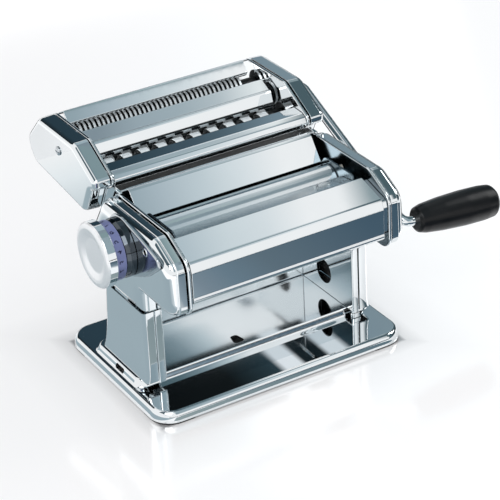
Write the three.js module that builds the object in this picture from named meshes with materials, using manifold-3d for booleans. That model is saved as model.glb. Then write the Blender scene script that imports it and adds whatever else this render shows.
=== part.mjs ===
// Hand-cranked pasta roller machine with a two-width cutter attachment.
// Millimetres, +Z up, X along the rollers (+X is the crank side), -Y is the front.
// Pieces are drawn about the middle of the base, and the whole is then moved so that the
// origin lies on the table under the middle of its bounding box.

import * as THREE from 'three';
import Module from 'manifold-3d';

const wasm = await Module();
wasm.setup();
const { Manifold, Mesh: ManifoldMesh } = wasm;

// ---- driving dimensions -------------------------------------------------
const GAP = 0.3;                  // clearance where two pieces meet
const SHEET = 1.2;                // sheet metal thickness

const MIDDLE_X = 38.95;           // middle of the bounding box, from the middle of the base
const MIDDLE_Y = 18.4;

const FOOT_SHOW = 1.5;            // how far the feet hold the base off the table
const FOOT_SIZE = 29;             // reach of a corner foot from the tray's edge, each way
const LIP_INSET = 0.7;            // from the tray's edge in to the foot's lip
const BASE_X = 103.2;             // half width of the base at the skirt's bottom
const BASE_Y = 73;                // half depth of the base at the skirt's bottom
const BASE_R = 17;                // plan corner radius at the skirt's bottom
const RIM_IN = 3;                 // how far the floor's edge lies inside the skirt
const FLOOR_Z = 9.5;              // top of the base's floor
const PLAT_Z = 15.3;              // top of the raised platform
const PLAT_X = 95.6;              // half width of the platform's top
const PLAT_FRONT = -28;           // front edge of the platform's top
const PLAT_REAR = 34;             // rear edge of the platform's top
const PLAT_RUN = 5.5;             // horizontal run of the platform's sloped sides

const STAND_FRONT = -38;          // front face of the stand's flanges
const STAND_TOP = 72.2;           // top of the stand
const WALL_X = 78.3;              // inner face of the stand's side walls
const FOLD_X = 84.6;              // seam between wall flange and shell flange
const SHELL_X = 92.9;             // outer face of the stand's shells
const STAND_REAR_TOP = 20;        // rear edge of the shell at its top
const STAND_REAR_LOW = 31;        // rear edge of the shell at its foot
const HOLE_R = 9.8;               // accessory hole in the stand's walls
const HOLE_Z = 33;                // height of that hole

const FRAME_IN = 79;              // inner face of the body's side frames
const FRAME_T = 2.4;              // side frame thickness
const COVER_IN = 82.4;            // open edge of a side cover
const COVER_BEAD = 87.6;          // crease where the cover starts to round over
const COVER_DEEP = 12.6;          // how far a side cover reaches outward
const COVER_OUT = COVER_IN + COVER_DEEP;
const COVER_WALL = 1.2;
const COVER_SOFT = 1.2;           // how fast a cover's corners grow rounder towards its face
const COVER_SHARP = 6;            // corners up to this radius keep their own rounding

const TOP_Z = 141.1;              // top edge of the body's sides
const LOW_FRONT_Z = 88.8;         // underside of the body in front of the stand
const LOW_REAR_Z = 72.5;          // underside of the body over the stand
const FRONT_Y = -86;              // front edge of the body's sides

const ROLL_R = 12;                // smooth roller radius
const ROLL_GAP = 0.6;             // gap between the smooth rollers at rest
const ROLL_TILT = 36;             // how far the pair leans back, degrees
const FRONT_ROLL_Y = -24.3;
const FRONT_ROLL_Z = 121.6;
const GUIDE_IN = 71.2;            // inner face of the dough guides
const GUIDE_T = 1.5;
const GUIDE_TOP = 136.7;
const SHAFT_R = 4;                // roller journal radius
const RUN = 0.08;                 // running clearance round a journal
const MAIN_TEETH = 14;

const KNOB_REACH = 26;            // from the side cover's face to the face of the knob's cap
const KNOB_OUT = COVER_OUT + KNOB_REACH;
const KNOB_R = 23.6;

const BODY_REAR = [30.5, 115];    // y, z of the corner low on the body's back
const CUTTER_BACK = 36.5;         // the wide pair's rear axis, behind that corner
const CUTTER_UP = 20.4;           // and above it
const FINE_BACK = 36.1;           // the fine pair's rear axis, behind the wide pair's
const FINE_UP = 13;               // and above it
const CUT_R = 9;                  // cutter roller radius over the discs
const CUT_PITCH = 18.4;           // centre distance of a cutter pair
const FINE_TILT = 13.2;           // how far the fine pair's rear roller stands higher, degrees
const WIDE_TILT = -14.5;          // the wide pair's rear roller stands lower, degrees
const FINE_ROOT = 7;              // radius at the bottom of the fine cutters' grooves
const WIDE_ROOT = 6.4;            // and of the wide cutters'
const CUT_LEN = 71;               // half length of the cutter rollers' working part
const FINE_DISCS = 38;
const WIDE_DISCS = 10;
const CUT_TEETH = 16;             // teeth on each cutter gear

const ROD_R = 3.7;                // crank rod radius
const ARM_REACH = 21.5;           // from the cutter cover's face to the plane of the crank's arm
const ARM_X = COVER_OUT + ARM_REACH;
const GRIP_Y = -50.1;             // where the grip's axis meets the arm's plane
const GRIP_Z = 82.8;
const GRIP_DROOP = 4;             // the grip hangs this many degrees below level

// ---- looks --------------------------------------------------------------
const finish = (color, roughness, metalness) =>
  new THREE.MeshStandardMaterial({ color, roughness, metalness });
const CHROME = finish(0xd3d7da, 0.08, 1);
const STEEL = finish(0xb9bec2, 0.22, 1);
const DARK_STEEL = finish(0x7c8185, 0.35, 1);
const RUBBER = finish(0x1b1b1c, 0.8, 0);
const BLACK = finish(0x18191b, 0.35, 0);
const RING = finish(0x9ea4dc, 0.35, 0.2);
const NYLON = finish(0xe4e2da, 0.5, 0);

// ---- helpers ------------------------------------------------------------
const rad = (degrees) => (degrees * Math.PI) / 180;

function solid(geometry) {
  const bare = geometry.clone();
  bare.deleteAttribute('normal');
  bare.deleteAttribute('uv');
  const merged = mergeByPosition(bare);
  return new Manifold(new ManifoldMesh({
    numProp: 3, vertProperties: merged.points, triVerts: merged.index,
  }));
}

// Joins vertices that lie within a ten-thousandth of a millimetre.
function mergeByPosition(geometry) {
  const position = geometry.getAttribute('position');
  const source = geometry.index ? Array.from(geometry.index.array)
    : [...Array(position.count).keys()];
  const seen = new Map();
  const points = [];
  const index = [];
  for (const i of source) {
    const p = [position.getX(i), position.getY(i), position.getZ(i)];
    const key = p.map((v) => Math.round(v * 1e4)).join(' ');
    if (!seen.has(key)) {
      seen.set(key, points.length / 3);
      points.push(...p);
    }
    index.push(seen.get(key));
  }
  const kept = [];
  for (let i = 0; i < index.length; i += 3) {
    const [a, b, c] = index.slice(i, i + 3);
    if (a !== b && b !== c && a !== c) kept.push(a, b, c);
  }
  return { points: new Float32Array(points), index: new Uint32Array(kept) };
}

function toGeometry(manifold) {
  const mesh = manifold.getMesh();
  const points = [];
  for (let i = 0; i < mesh.numVert; i++) {
    points.push(...mesh.vertProperties.slice(i * mesh.numProp, i * mesh.numProp + 3));
  }
  const geometry = new THREE.BufferGeometry();
  geometry.setAttribute('position', new THREE.Float32BufferAttribute(points, 3));
  geometry.setIndex(Array.from(mesh.triVerts));
  geometry.computeVertexNormals();
  return geometry;
}

const cut = (body, ...tools) => tools.reduce((a, b) => a.subtract(b), body);
const join = (...parts) => parts.reduce((a, b) => a.add(b));

// Polygon corners rounded with arcs; a positive inset shrinks the outline evenly.
// corners: [a, b, radius], anticlockwise.
function outline(corners, inset = 0, steps = 3) {
  const n = corners.length;
  const moved = corners.map((c, i) => {
    const p = corners[(i + n - 1) % n];
    const q = corners[(i + 1) % n];
    const u = new THREE.Vector2(c[0] - p[0], c[1] - p[1]).normalize();
    const v = new THREE.Vector2(q[0] - c[0], q[1] - c[1]).normalize();
    const nu = new THREE.Vector2(-u.y, u.x);
    const nv = new THREE.Vector2(-v.y, v.x);
    const k = inset / (1 + nu.dot(nv));
    const convex = u.x * v.y - u.y * v.x > 0;
    return { at: new THREE.Vector2(c[0] + (nu.x + nv.x) * k, c[1] + (nu.y + nv.y) * k),
      u, v, r: convex ? Math.max(c[2] - inset, 0.05) : Math.max(c[2] + inset, 0.05) };
  });
  const points = [];
  for (const m of moved) {
    const turn = Math.atan2(m.u.x * m.v.y - m.u.y * m.v.x, m.u.dot(m.v));
    const side = Math.sign(turn) || 1;
    const reach = m.r * Math.tan(Math.abs(turn) / 2);
    const start = m.at.clone().addScaledVector(m.u, -reach);
    const centre = start.clone().add(
      new THREE.Vector2(-m.u.y, m.u.x).multiplyScalar(side * m.r));
    const spoke = start.clone().sub(centre);
    for (let k = 0; k <= steps; k++) {
      points.push(spoke.clone().rotateAround(new THREE.Vector2(), (turn * k) / steps).add(centre));
    }
  }
  return points;
}

// Extrudes an outline in the Y-Z plane along X.
function slabX(points, x0, x1) {
  const geometry = new THREE.ExtrudeGeometry(new THREE.Shape(points),
    { depth: x1 - x0, bevelEnabled: false });
  geometry.applyMatrix4(new THREE.Matrix4().makeBasis(
    new THREE.Vector3(0, 1, 0), new THREE.Vector3(0, 0, 1), new THREE.Vector3(1, 0, 0)));
  geometry.translate(x0, 0, 0);
  return solid(geometry);
}

// Extrudes an outline in the X-Y plane along Z.
function slabZ(points, z0, z1) {
  const geometry = new THREE.ExtrudeGeometry(new THREE.Shape(points),
    { depth: z1 - z0, bevelEnabled: false });
  geometry.translate(0, 0, z0);
  return solid(geometry);
}

function box(x0, x1, y0, y1, z0, z1) {
  const geometry = new THREE.BoxGeometry(x1 - x0, y1 - y0, z1 - z0);
  geometry.translate((x0 + x1) / 2, (y0 + y1) / 2, (z0 + z1) / 2);
  return solid(geometry);
}

// Sides given to a round of radius r.
const facets = (r) => (r < 3.5 ? 10 : r < 8 ? 14 : 20);

// A cylinder along X from x0 to x1.
function rodX(r, x0, x1, y, z, steps = facets(r)) {
  const geometry = new THREE.CylinderGeometry(r, r, x1 - x0, steps);
  geometry.rotateZ(-Math.PI / 2);
  geometry.translate((x0 + x1) / 2, y, z);
  return solid(geometry);
}

// A round cutting tool whose flats, not its corners, lie at radius r.
function boreX(r, x0, x1, y, z, steps = facets(r)) {
  return rodX(r / Math.cos(Math.PI / steps), x0, x1, y, z, steps);
}

// A turned piece about an axis along X; profile is [x, r] with x rising, r = 0 at both ends.
function turnedX(profile, y, z, steps = 24) {
  const geometry = new THREE.LatheGeometry(
    profile.map(([x, r]) => new THREE.Vector2(r, x)), steps);
  geometry.rotateZ(-Math.PI / 2);
  return moveSolid(solid(geometry), 0, y, z);
}

const moveSolid = (body, x, y, z) => body.translate([x, y, z]);

// Stacks outlines of equal point count into a closed solid. rings: [[points3], ...]
function loft(rings) {
  const n = rings[0].length;
  const points = rings.flat();
  const index = [];
  for (let r = 0; r < rings.length - 1; r++) {
    for (let i = 0; i < n; i++) {
      const a = r * n + i;
      const b = r * n + ((i + 1) % n);
      index.push(a, b, b + n, a, b + n, a + n);
    }
  }
  const flat = rings[0].map((p, i) => new THREE.Vector2(...capPlane(rings[0], i)));
  const caps = THREE.ShapeUtils.triangulateShape(flat, []);
  const last = (rings.length - 1) * n;
  for (const [a, b, c] of caps) {
    index.push(c, b, a);
    index.push(last + a, last + b, last + c);
  }
  const geometry = new THREE.BufferGeometry();
  geometry.setAttribute('position', new THREE.Float32BufferAttribute(
    points.flatMap((p) => [p.x, p.y, p.z]), 3));
  geometry.setIndex(index);
  return geometry;
}

// The two coordinates in which a ring is flat: X-Y for level rings, Y-Z for upright ones.
function capPlane(ring, i) {
  const level = Math.abs(ring[0].z - ring[Math.floor(ring.length / 3)].z) < 1e-6
    && Math.abs(ring[0].z - ring[Math.floor(ring.length / 2)].z) < 1e-6;
  return level ? [ring[i].x, ring[i].y] : [ring[i].y, ring[i].z];
}

const ringAtX = (points, x) => points.map((p) => new THREE.Vector3(x, p.x, p.y));
const ringAtZ = (points, z) => points.map((p) => new THREE.Vector3(p.x, p.y, z));

const mirrorX = (body) => body.mirror([1, 0, 0]);

const group = new THREE.Group();
group.name = 'pasta_roller_machine';

function add(name, body, material) {
  const mesh = new THREE.Mesh(toGeometry(body), material);
  mesh.name = name;
  group.add(mesh);
}

// ---- base ---------------------------------------------------------------
function planOutline(halfX, halfY, radius, inset) {
  return outline([[halfX, -halfY, radius], [halfX, halfY, radius],
    [-halfX, halfY, radius], [-halfX, -halfY, radius]], inset, 5);
}

// The pressed tray as a full block, sunk by t on every face for the hollow underneath.
function trayBlock(t) {
  const skirt = [[FOOT_SHOW - (t ? 1 : 0), 0], [FLOOR_Z - 3.4, 0.8],
    [FLOOR_Z - 1, 1.7], [FLOOR_Z, RIM_IN + 0.2]];
  return loft(skirt.map(([z, inset], i) => ringAtZ(
    planOutline(BASE_X, BASE_Y, BASE_R, inset + t), i === 0 ? z : z - t)));
}

function platformBlock(t) {
  const middle = (PLAT_REAR + PLAT_FRONT) / 2;
  const half = (PLAT_REAR - PLAT_FRONT) / 2;
  const ring = (grow, z) => ringAtZ(planOutline(PLAT_X, half, 4, -grow)
    .map((p) => new THREE.Vector2(p.x, p.y + middle)), z);
  const side = PLAT_RUN - 1;
  return loft([ring(side - t, FLOOR_Z - 1.6 - t), ring(side - t, FLOOR_Z + 0.4 - t),
    ring(0.7 - t, PLAT_Z - 1.4 - t), ring(-0.6 - t, PLAT_Z - t)]);
}

function baseTray() {
  const shell = cut(join(solid(trayBlock(0)), solid(platformBlock(0))),
    solid(trayBlock(SHEET)), solid(platformBlock(SHEET)));
  const clampSlot = slabZ(outline([[-15.5, -25.5, 2.5], [-6.5, -25.5, 2.5],
    [-8.3, -16.5, 2.5], [-13.7, -16.5, 2.5]], 0, 3), FLOOR_Z, PLAT_Z + 2);
  const sideSlot = box(-BASE_X + 1, -PLAT_X + 1, -8, 4, FLOOR_Z + 1.6, FLOOR_Z + 4.4);
  return cut(shell, clampSlot, sideSlot);
}

// One corner of the base at the given inset, FOOT_SIZE long each way from the tray's edge.
function footOutline(sx, sy, inset) {
  const x = sx * (BASE_X - inset);
  const y = sy * (BASE_Y - inset);
  const [innerX, innerY] = [sx * (BASE_X - FOOT_SIZE), sy * (BASE_Y - FOOT_SIZE)];
  const corners = [[x, y, BASE_R - inset], [innerX, y, 3], [innerX, innerY, 3], [x, innerY, 3]];
  if (sx * sy < 0) corners.reverse();
  return outline(corners, 0, 4);
}

// A pad up inside the tray, with a thin lip that shows under the tray's edge.
function corner(sx, sy) {
  const pad = slabZ(footOutline(sx, sy, SHEET + 1.6), 0, FLOOR_Z - SHEET - GAP - 2);
  return join(pad, slabZ(footOutline(sx, sy, LIP_INSET), 0, FOOT_SHOW - GAP));
}

// ---- stand --------------------------------------------------------------
function standBackPanel() {
  const sheet = box(-WALL_X + GAP, WALL_X - GAP, 30, 30 + SHEET, PLAT_Z + GAP, STAND_TOP);
  const foot = box(-WALL_X + GAP, WALL_X - GAP, 30 + SHEET - 0.2, PLAT_REAR - 0.7,
    PLAT_Z + GAP, PLAT_Z + GAP + SHEET);
  return join(sheet, foot);
}

// The right wall with the flange turned outward at the front; mirrored for the left.
function standWall() {
  const wall = box(WALL_X, WALL_X + SHEET, STAND_FRONT, 32, PLAT_Z + GAP, STAND_TOP);
  const flange = box(WALL_X, FOLD_X - 0.5, STAND_FRONT, STAND_FRONT + SHEET,
    FLOOR_Z + GAP, STAND_TOP);
  const toe = box(WALL_X, WALL_X + SHEET, STAND_FRONT, PLAT_FRONT - PLAT_RUN - 0.5,
    FLOOR_Z + GAP, PLAT_Z + 1);
  const hole = rodX(HOLE_R, WALL_X - 5, WALL_X + 5, 0, HOLE_Z, 28);
  return cut(join(wall, flange, toe), hole);
}

// The right outer shell: a flat cheek that sweeps back and out towards its foot.
function standShell() {
  const levels = [[PLAT_Z + GAP, STAND_REAR_LOW, 1.2], [19, STAND_REAR_LOW - 1, 0.5],
    [24, 28.6, 0], [40, 24, 0], [STAND_TOP, STAND_REAR_TOP, 0]];
  const ring = (z, rear, flare, t) => {
    const out = SHELL_X + flare - t;
    const low = t ? STAND_FRONT + t : STAND_FRONT;
    return ringAtZ(outline([[FOLD_X + 0.4, low, 0.1], [out, low, 2.5 - t * 0.6],
      [out, rear - t, 5 - t * 0.6], [FOLD_X + 0.4, rear - t, 0.1]], 0, 3), z);
  };
  const outer = solid(loft(levels.map(([z, rear, flare]) => ring(z, rear, flare, 0))));
  const hollow = solid(loft(levels.map(([z, rear, flare], i) => ring(
    z - (i ? 0 : 2) + (i === levels.length - 1 ? 2 : 0), rear, flare, SHEET))));
  const sweep = moveSolid(hollow, -SHEET * 4, 0, 0);
  return cut(outer, hollow, sweep);
}

// ---- body ---------------------------------------------------------------
const BODY = [[FRONT_Y, LOW_FRONT_Z, 10], [-38.4, LOW_FRONT_Z, 1], [-38.4, LOW_REAR_Z, 1.5],
  [25, LOW_REAR_Z, 8], [...BODY_REAR, 9], [12.5, TOP_Z, 7], [-60.5, TOP_Z, 11], [-84.8, 128.3, 11]];

// The side frames stand a little proud of the covers along the top and the front.
const FRAME = [[FRONT_Y - 0.6, LOW_FRONT_Z - 0.5, 10], [-38.4, LOW_FRONT_Z - 0.5, 1],
  [-38.4, LOW_REAR_Z, 1.5], [25, LOW_REAR_Z, 8], [...BODY_REAR, 9], [12, TOP_Z + 1.7, 7],
  [-61.2, TOP_Z + 1.7, 11], [FRONT_Y - 0.6, 129.4, 11]];

const rollerTilt = rad(ROLL_TILT);
const rollPitch = 2 * ROLL_R + ROLL_GAP;
const REAR_ROLL_Y = FRONT_ROLL_Y + rollPitch * Math.cos(rollerTilt);
const REAR_ROLL_Z = FRONT_ROLL_Z - rollPitch * Math.sin(rollerTilt);
const BLOCK = 7.4;                // half side of the sliding bearing block
const TRAVEL = 2.4;               // how far the front roller can back off
const TIE_RODS = [[-75, 97], [16, 82]];
const TIE_R = 3;
const TIE_NECK = 2;

// A rectangle squared to the line through both rollers: u runs from the front roller's
// axis towards the rear roller, v across it.
function squared(u0, u1, v0, v1, radius) {
  return outline([[u0, v0, radius], [u1, v0, radius], [u1, v1, radius], [u0, v1, radius]], 0, 2)
    .map((p) => p.rotateAround(new THREE.Vector2(), -rollerTilt)
      .add(new THREE.Vector2(FRONT_ROLL_Y, FRONT_ROLL_Z)));
}

function sideFrame() {
  const x1 = FRAME_IN + FRAME_T;
  const plate = slabX(outline(FRAME), FRAME_IN, x1);
  const window = slabX(squared(-BLOCK - TRAVEL - GAP, BLOCK + GAP, -BLOCK - GAP, BLOCK + GAP, 1),
    FRAME_IN - 1, x1 + 1);
  const rearBore = boreX(SHAFT_R + 2 + GAP, FRAME_IN - 1, x1 + 1, REAR_ROLL_Y, REAR_ROLL_Z);
  const ties = TIE_RODS.map(([y, z]) => boreX(TIE_NECK + RUN, FRAME_IN - 1, x1 + 1, y, z));
  return cut(plate, window, rearBore, ...ties);
}

const KNOB_BOSS = 7.5;            // outside radius of the boss that carries the knob's shaft
const SOCKET_R = 8.5;             // hole in the right cover over the roller's socket

// A drawn shell over the outline: rows are [x, inset], and its corners grow rounder inwards.
function drawnShell(corners, outer, inner) {
  const soft = (inset) => corners.map(([y, z, r]) => [y, z,
    r > COVER_SHARP ? r + COVER_SOFT * inset : r]);
  const [skin, hollow] = [outer, inner].map((rows) => solid(loft(rows.map(([x, inset]) =>
    ringAtX(outline(soft(inset), inset, 4), x)))));
  return cut(skin, hollow);
}

function sideCover(side) {
  const outer = [[COVER_IN, 0], [COVER_BEAD, 0.1], [COVER_BEAD + 0.5, 0.75],
    [COVER_OUT - 5.4, 1.2], [COVER_OUT - 2.6, 3], [COVER_OUT - 0.8, 6], [COVER_OUT, 9.6]];
  const inner = [[COVER_IN - 1, COVER_WALL], [COVER_OUT - 5.8, 1.2 + COVER_WALL],
    [COVER_OUT - COVER_WALL, 8 + COVER_WALL]];
  const shell = drawnShell(BODY, outer, inner);
  const posts = [[-72, 108], [17, 100]].map(([y, z]) =>
    rodX(3, FRAME_IN + FRAME_T + GAP, COVER_OUT - 0.6, y, z, 12));
  const cover = join(shell, ...posts);
  if (side > 0) {
    return cut(cover, boreX(SOCKET_R, COVER_OUT - 4, COVER_OUT + 1, REAR_ROLL_Y, REAR_ROLL_Z));
  }
  const boss = rodX(KNOB_BOSS, COVER_OUT - 2.4, COVER_OUT - 0.5, FRONT_ROLL_Y, FRONT_ROLL_Z);
  const bore = boreX(KNOB_SHAFT_R + RUN, COVER_OUT - 8, COVER_OUT + 1, FRONT_ROLL_Y, FRONT_ROLL_Z);
  return mirrorX(cut(join(cover, boss), bore));
}

// A bent sheet: the centre line thickened to t, extruded along X between the side frames.
function bentSheet(line, t, halfLength, rightEnd = halfLength) {
  const left = [];
  const right = [];
  line.forEach((p, i) => {
    const prev = line[Math.max(i - 1, 0)];
    const next = line[Math.min(i + 1, line.length - 1)];
    const a = new THREE.Vector2(p[0] - prev[0], p[1] - prev[1]);
    const b = new THREE.Vector2(next[0] - p[0], next[1] - p[1]);
    if (i === 0) a.copy(b);
    if (i === line.length - 1) b.copy(a);
    a.normalize();
    b.normalize();
    const na = new THREE.Vector2(-a.y, a.x);
    const nb = new THREE.Vector2(-b.y, b.x);
    const k = t / 2 / (1 + na.dot(nb));
    left.push(new THREE.Vector2(p[0] + (na.x + nb.x) * k, p[1] + (na.y + nb.y) * k));
    right.push(new THREE.Vector2(p[0] - (na.x + nb.x) * k, p[1] - (na.y + nb.y) * k));
  });
  return slabX([...right, ...left.reverse()], -halfLength, rightEnd);
}

const PANEL_HALF = 74.5;          // half length of the bright outer panels
const BETWEEN = FRAME_IN - GAP;   // half length of a piece that spans the side frames

// The outer face of the front, with hidden tongues that reach the side frames.
function frontPanel() {
  const face = bentSheet([[-57.2, 133], [-58.6, 135.4], [-60.2, 135.9], [-84, 129.2],
    [-85.3, 128.2], [-86.7, 122.8], [-86.7, 104.2], [-87.2, 102.6], [-87, 100.4],
    [-85.4, 99.4], [-80, 99.6]], SHEET, BETWEEN, PANEL_HALF);
  const tongue = bentSheet([[-60.6, 133.9], [-83.6, 127.4], [-85, 122.6], [-85, 104.4]],
    SHEET, BETWEEN);
  const bridge = box(-60, 60, -86.6, -85.2, 108, 118);
  return join(face, tongue, bridge);
}

function frontGuard() {
  return bentSheet([[-38.6, 130], [-40, 130.3], [-55.6, 132.3], [-56.2, 131], [-52, 112]],
    1, GUIDE_IN - GAP);
}

// The slope that feeds the rollers, carried over the top and down the back.
function rearPanel() {
  const slope = bentSheet([[-6.8, 128], [5, 143.8], [6.6, 144.6], [9.6, 144.2]], 1, PANEL_HALF);
  const [y, z] = BODY_REAR;
  const back = bentSheet([[8.2, 144.3], [9.4, 144.1], [10.4, 143], [y - 2.5, z + 0.4],
    [y - 2.3, z - 2.4], [23, 75]], 1, BETWEEN);
  return join(slope, back);
}

function guide() {
  const face = outline([[-54, 104, 3], [-10, 101.6, 3], [14, 101.6, 3], [14, 113, 3],
    [-9, 125.6, 3], [-17, GUIDE_TOP, 5], [-54, GUIDE_TOP, 4]]);
  const plate = slabX(face, GUIDE_IN, GUIDE_IN + GUIDE_T);
  const tabs = [[-49, 125], [10.5, 107]].map(([y, z]) =>
    box(GUIDE_IN + GUIDE_T - 0.2, BETWEEN, y - 2, y + 2, z - 3, z + 3));
  const frontHole = blockHole(SHAFT_R + 0.6);
  const rearHole = boreX(SHAFT_R + 0.6, GUIDE_IN - 1, GUIDE_IN + GUIDE_T + 1,
    REAR_ROLL_Y, REAR_ROLL_Z);
  return cut(join(plate, ...tabs), frontHole, rearHole);
}

// A round-ended slot that lets the front roller's journal back off.
function blockHole(r) {
  const dy = -Math.cos(rollerTilt) * (TRAVEL + 0.2);
  const dz = Math.sin(rollerTilt) * (TRAVEL + 0.2);
  const at = (k) => boreX(r, GUIDE_IN - 1, GUIDE_IN + GUIDE_T + 1,
    FRONT_ROLL_Y + dy * k, FRONT_ROLL_Z + dz * k);
  return join(at(0), at(0.5), at(1));
}

// The hub on a driven roller's right end, with a square socket for the crank.
const HUB_R = 5.6;
const HUB_END = COVER_OUT - 1;
const SOCKET = 2.7;               // half side of the square socket
const SOCKET_DEEP = 8;

const socketAt = (y, z) => box(HUB_END - SOCKET_DEEP, HUB_END + 1,
  y - SOCKET, y + SOCKET, z - SOCKET, z + SOCKET);

function smoothRoller(y, z, driven) {
  const face = GUIDE_IN - 0.3;
  const left = -FRAME_IN - FRAME_T - 0.1;
  const right = MAIN_GEAR[1] + GAP;
  const hub = driven ? [[right, HUB_R], [HUB_END, HUB_R], [HUB_END, 0]] : [[right, 0]];
  const roller = turnedX([[left, 0], [left, SHAFT_R], [-face, SHAFT_R], [-face, ROLL_R - 0.5],
    [-face + 0.5, ROLL_R], [face - 0.5, ROLL_R], [face, ROLL_R - 0.5], [face, SHAFT_R],
    [right, SHAFT_R], ...hub], y, z, 26);
  return driven ? cut(roller, socketAt(y, z)) : roller;
}

// Straight-sided gear teeth with enough backlash to run freely at a fixed centre distance.
const GEAR_BORE = SHAFT_R + RUN;

function gearBlank(teeth, module, x0, x1, y, z, bore, phase) {
  const pitchR = (teeth * module) / 2;
  const step = (2 * Math.PI) / teeth;
  const points = [];
  for (let i = 0; i < teeth; i++) {
    const mid = i * step + phase;
    for (const [r, w] of [[pitchR - 1.1 * module, -0.32], [pitchR + 0.8 * module, -0.12],
      [pitchR + 0.8 * module, 0.12], [pitchR - 1.1 * module, 0.32]]) {
      const a = mid + w * step;
      points.push(new THREE.Vector2(r * Math.cos(a), r * Math.sin(a)));
    }
  }
  return cut(moveSolid(slabX(points, x0, x1), 0, y, z), boreX(bore, x0 - 1, x1 + 1, y, z));
}

// The direction from one shaft to another, as an angle in the Y-Z plane.
const bearing = (from, to) => Math.atan2(to[1] - from[1], to[0] - from[0]);

// A pair of equal gears on two shafts: a tooth of one stands in a space of the other.
function gearPair(names, teeth, plane, first, second) {
  const apart = Math.hypot(second[0] - first[0], second[1] - first[1]);
  const out = bearing(first, second);
  const make = (at, phase) => gearBlank(teeth, apart / teeth, ...plane, ...at, GEAR_BORE, phase);
  add(names[0], make(first, out), DARK_STEEL);
  add(names[1], make(second, out + Math.PI + Math.PI / teeth), DARK_STEEL);
}

const MAIN_GEAR = [COVER_IN + 1.2, COVER_OUT - 5.4];

const CAM_R = 5;                  // the knob's eccentric
const CAM_OFF = TRAVEL / 2;
const CAM_PLAY = 0.42;            // slack round the eccentric inside its yoke
const CAM_AT = [FRONT_ROLL_Y + CAM_OFF * Math.cos(rollerTilt),
  FRONT_ROLL_Z - CAM_OFF * Math.sin(rollerTilt)];
const YOKE_X = [FRAME_IN + FRAME_T + GAP, COVER_OUT - 7];

// A block that slides in the frame's window; the left one carries a yoke round the cam.
function bearingBlock(side) {
  const deep = side > 0 ? FRAME_IN + FRAME_T : YOKE_X[0] + 0.3;
  const block = cut(slabX(squared(-BLOCK, BLOCK, -BLOCK, BLOCK, 1), FRAME_IN, deep),
    boreX(SHAFT_R + RUN, FRAME_IN - 1, deep + 1, FRONT_ROLL_Y, FRONT_ROLL_Z));
  if (side > 0) return block;
  const [u, v] = [CAM_R + CAM_PLAY, CAM_R + CAM_OFF + CAM_PLAY];
  const wall = 1.4;
  const yoke = cut(slabX(squared(CAM_OFF - u - wall, CAM_OFF + u + wall, -v - wall, v + wall, 1),
    ...YOKE_X), slabX(squared(CAM_OFF - u, CAM_OFF + u, -v, v, 0.2), YOKE_X[0] - 1,
      YOKE_X[1] + 1));
  return mirrorX(join(block, yoke));
}

function rearBush() {
  const tube = rodX(SHAFT_R + 2, FRAME_IN, FRAME_IN + FRAME_T, REAR_ROLL_Y, REAR_ROLL_Z);
  const flange = rodX(SHAFT_R + 3.6, FRAME_IN - 1.6, FRAME_IN - GAP, REAR_ROLL_Y, REAR_ROLL_Z);
  const whole = join(tube, flange, rodX(SHAFT_R + 2, FRAME_IN - 0.5, FRAME_IN + 0.5,
    REAR_ROLL_Y, REAR_ROLL_Z));
  return cut(whole, boreX(SHAFT_R + RUN, FRAME_IN - 3, FRAME_IN + 5, REAR_ROLL_Y, REAR_ROLL_Z));
}

function tieRod(y, z) {
  const end = FRAME_IN + FRAME_T + 1.6;
  const neck = BETWEEN;
  return turnedX([[-end, 0], [-end, TIE_NECK], [-neck, TIE_NECK], [-neck, TIE_R], [neck, TIE_R],
    [neck, TIE_NECK], [end, TIE_NECK], [end, 0]], y, z, 10);
}

function scraper(y, z, lean) {
  const c = Math.cos(rad(lean));
  const s = Math.sin(rad(lean));
  return bentSheet([[y, z], [y + c * 11, z - s * 11], [y + c * 11 + 3, z - s * 11 - 4]],
    0.8, BETWEEN);
}

// ---- knob ---------------------------------------------------------------
const KNOB_SHAFT_R = 3.8;
const SHOULDER_R = 7.2;           // a shoulder on the knob's shaft that the coil bears on
const SHOULDER_X = -KNOB_OUT + 16;

function knobShaft() {
  const y = FRONT_ROLL_Y;
  const z = FRONT_ROLL_Z;
  const shaft = rodX(KNOB_SHAFT_R, -KNOB_OUT + 5, -YOKE_X[1] + 0.5, y, z);
  const shoulder = rodX(SHOULDER_R, SHOULDER_X, SHOULDER_X + 1.2, y, z);
  return join(shaft, shoulder,
    rodX(CAM_R, -YOKE_X[1], -FRAME_IN - FRAME_T - 1, ...CAM_AT, 20));
}

function knobCap() {
  const o = -KNOB_OUT;
  const profile = [[o + 2.4, 0], [o + 1.6, 11], [o + 0.2, 18], [o + 0.3, 21],
    [o + 1.8, 23], [o + 4, KNOB_R], [o + 8.2, KNOB_R], [o + 8.2, 19], [o + 4, 18.4],
    [o + 4, 9], [o + 8, 9], [o + 8, 0]];
  const cap = turnedX(profile, FRONT_ROLL_Y, FRONT_ROLL_Z, 32);
  return cut(cap, boreX(KNOB_SHAFT_R + RUN, o + 4.6, o + 12, FRONT_ROLL_Y, FRONT_ROLL_Z));
}

const RING_OUT = -KNOB_OUT + 8.5;
const RING_WEB = 1.4;
const RING_IN = RING_OUT + 7.6;

function numberRing() {
  const tube = turnedX([[RING_OUT, 0], [RING_OUT, 20.9], [RING_IN, 21.2], [RING_IN, 0]],
    FRONT_ROLL_Y, FRONT_ROLL_Z, 32);
  const hollow = rodX(17.6, RING_OUT + RING_WEB, RING_IN + 1, FRONT_ROLL_Y, FRONT_ROLL_Z, 24);
  return cut(tube, hollow,
    boreX(KNOB_SHAFT_R + RUN, RING_OUT - 1, RING_IN + 1, FRONT_ROLL_Y, FRONT_ROLL_Z));
}

const PLATE_OUT = -COVER_OUT - 2.1;

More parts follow.
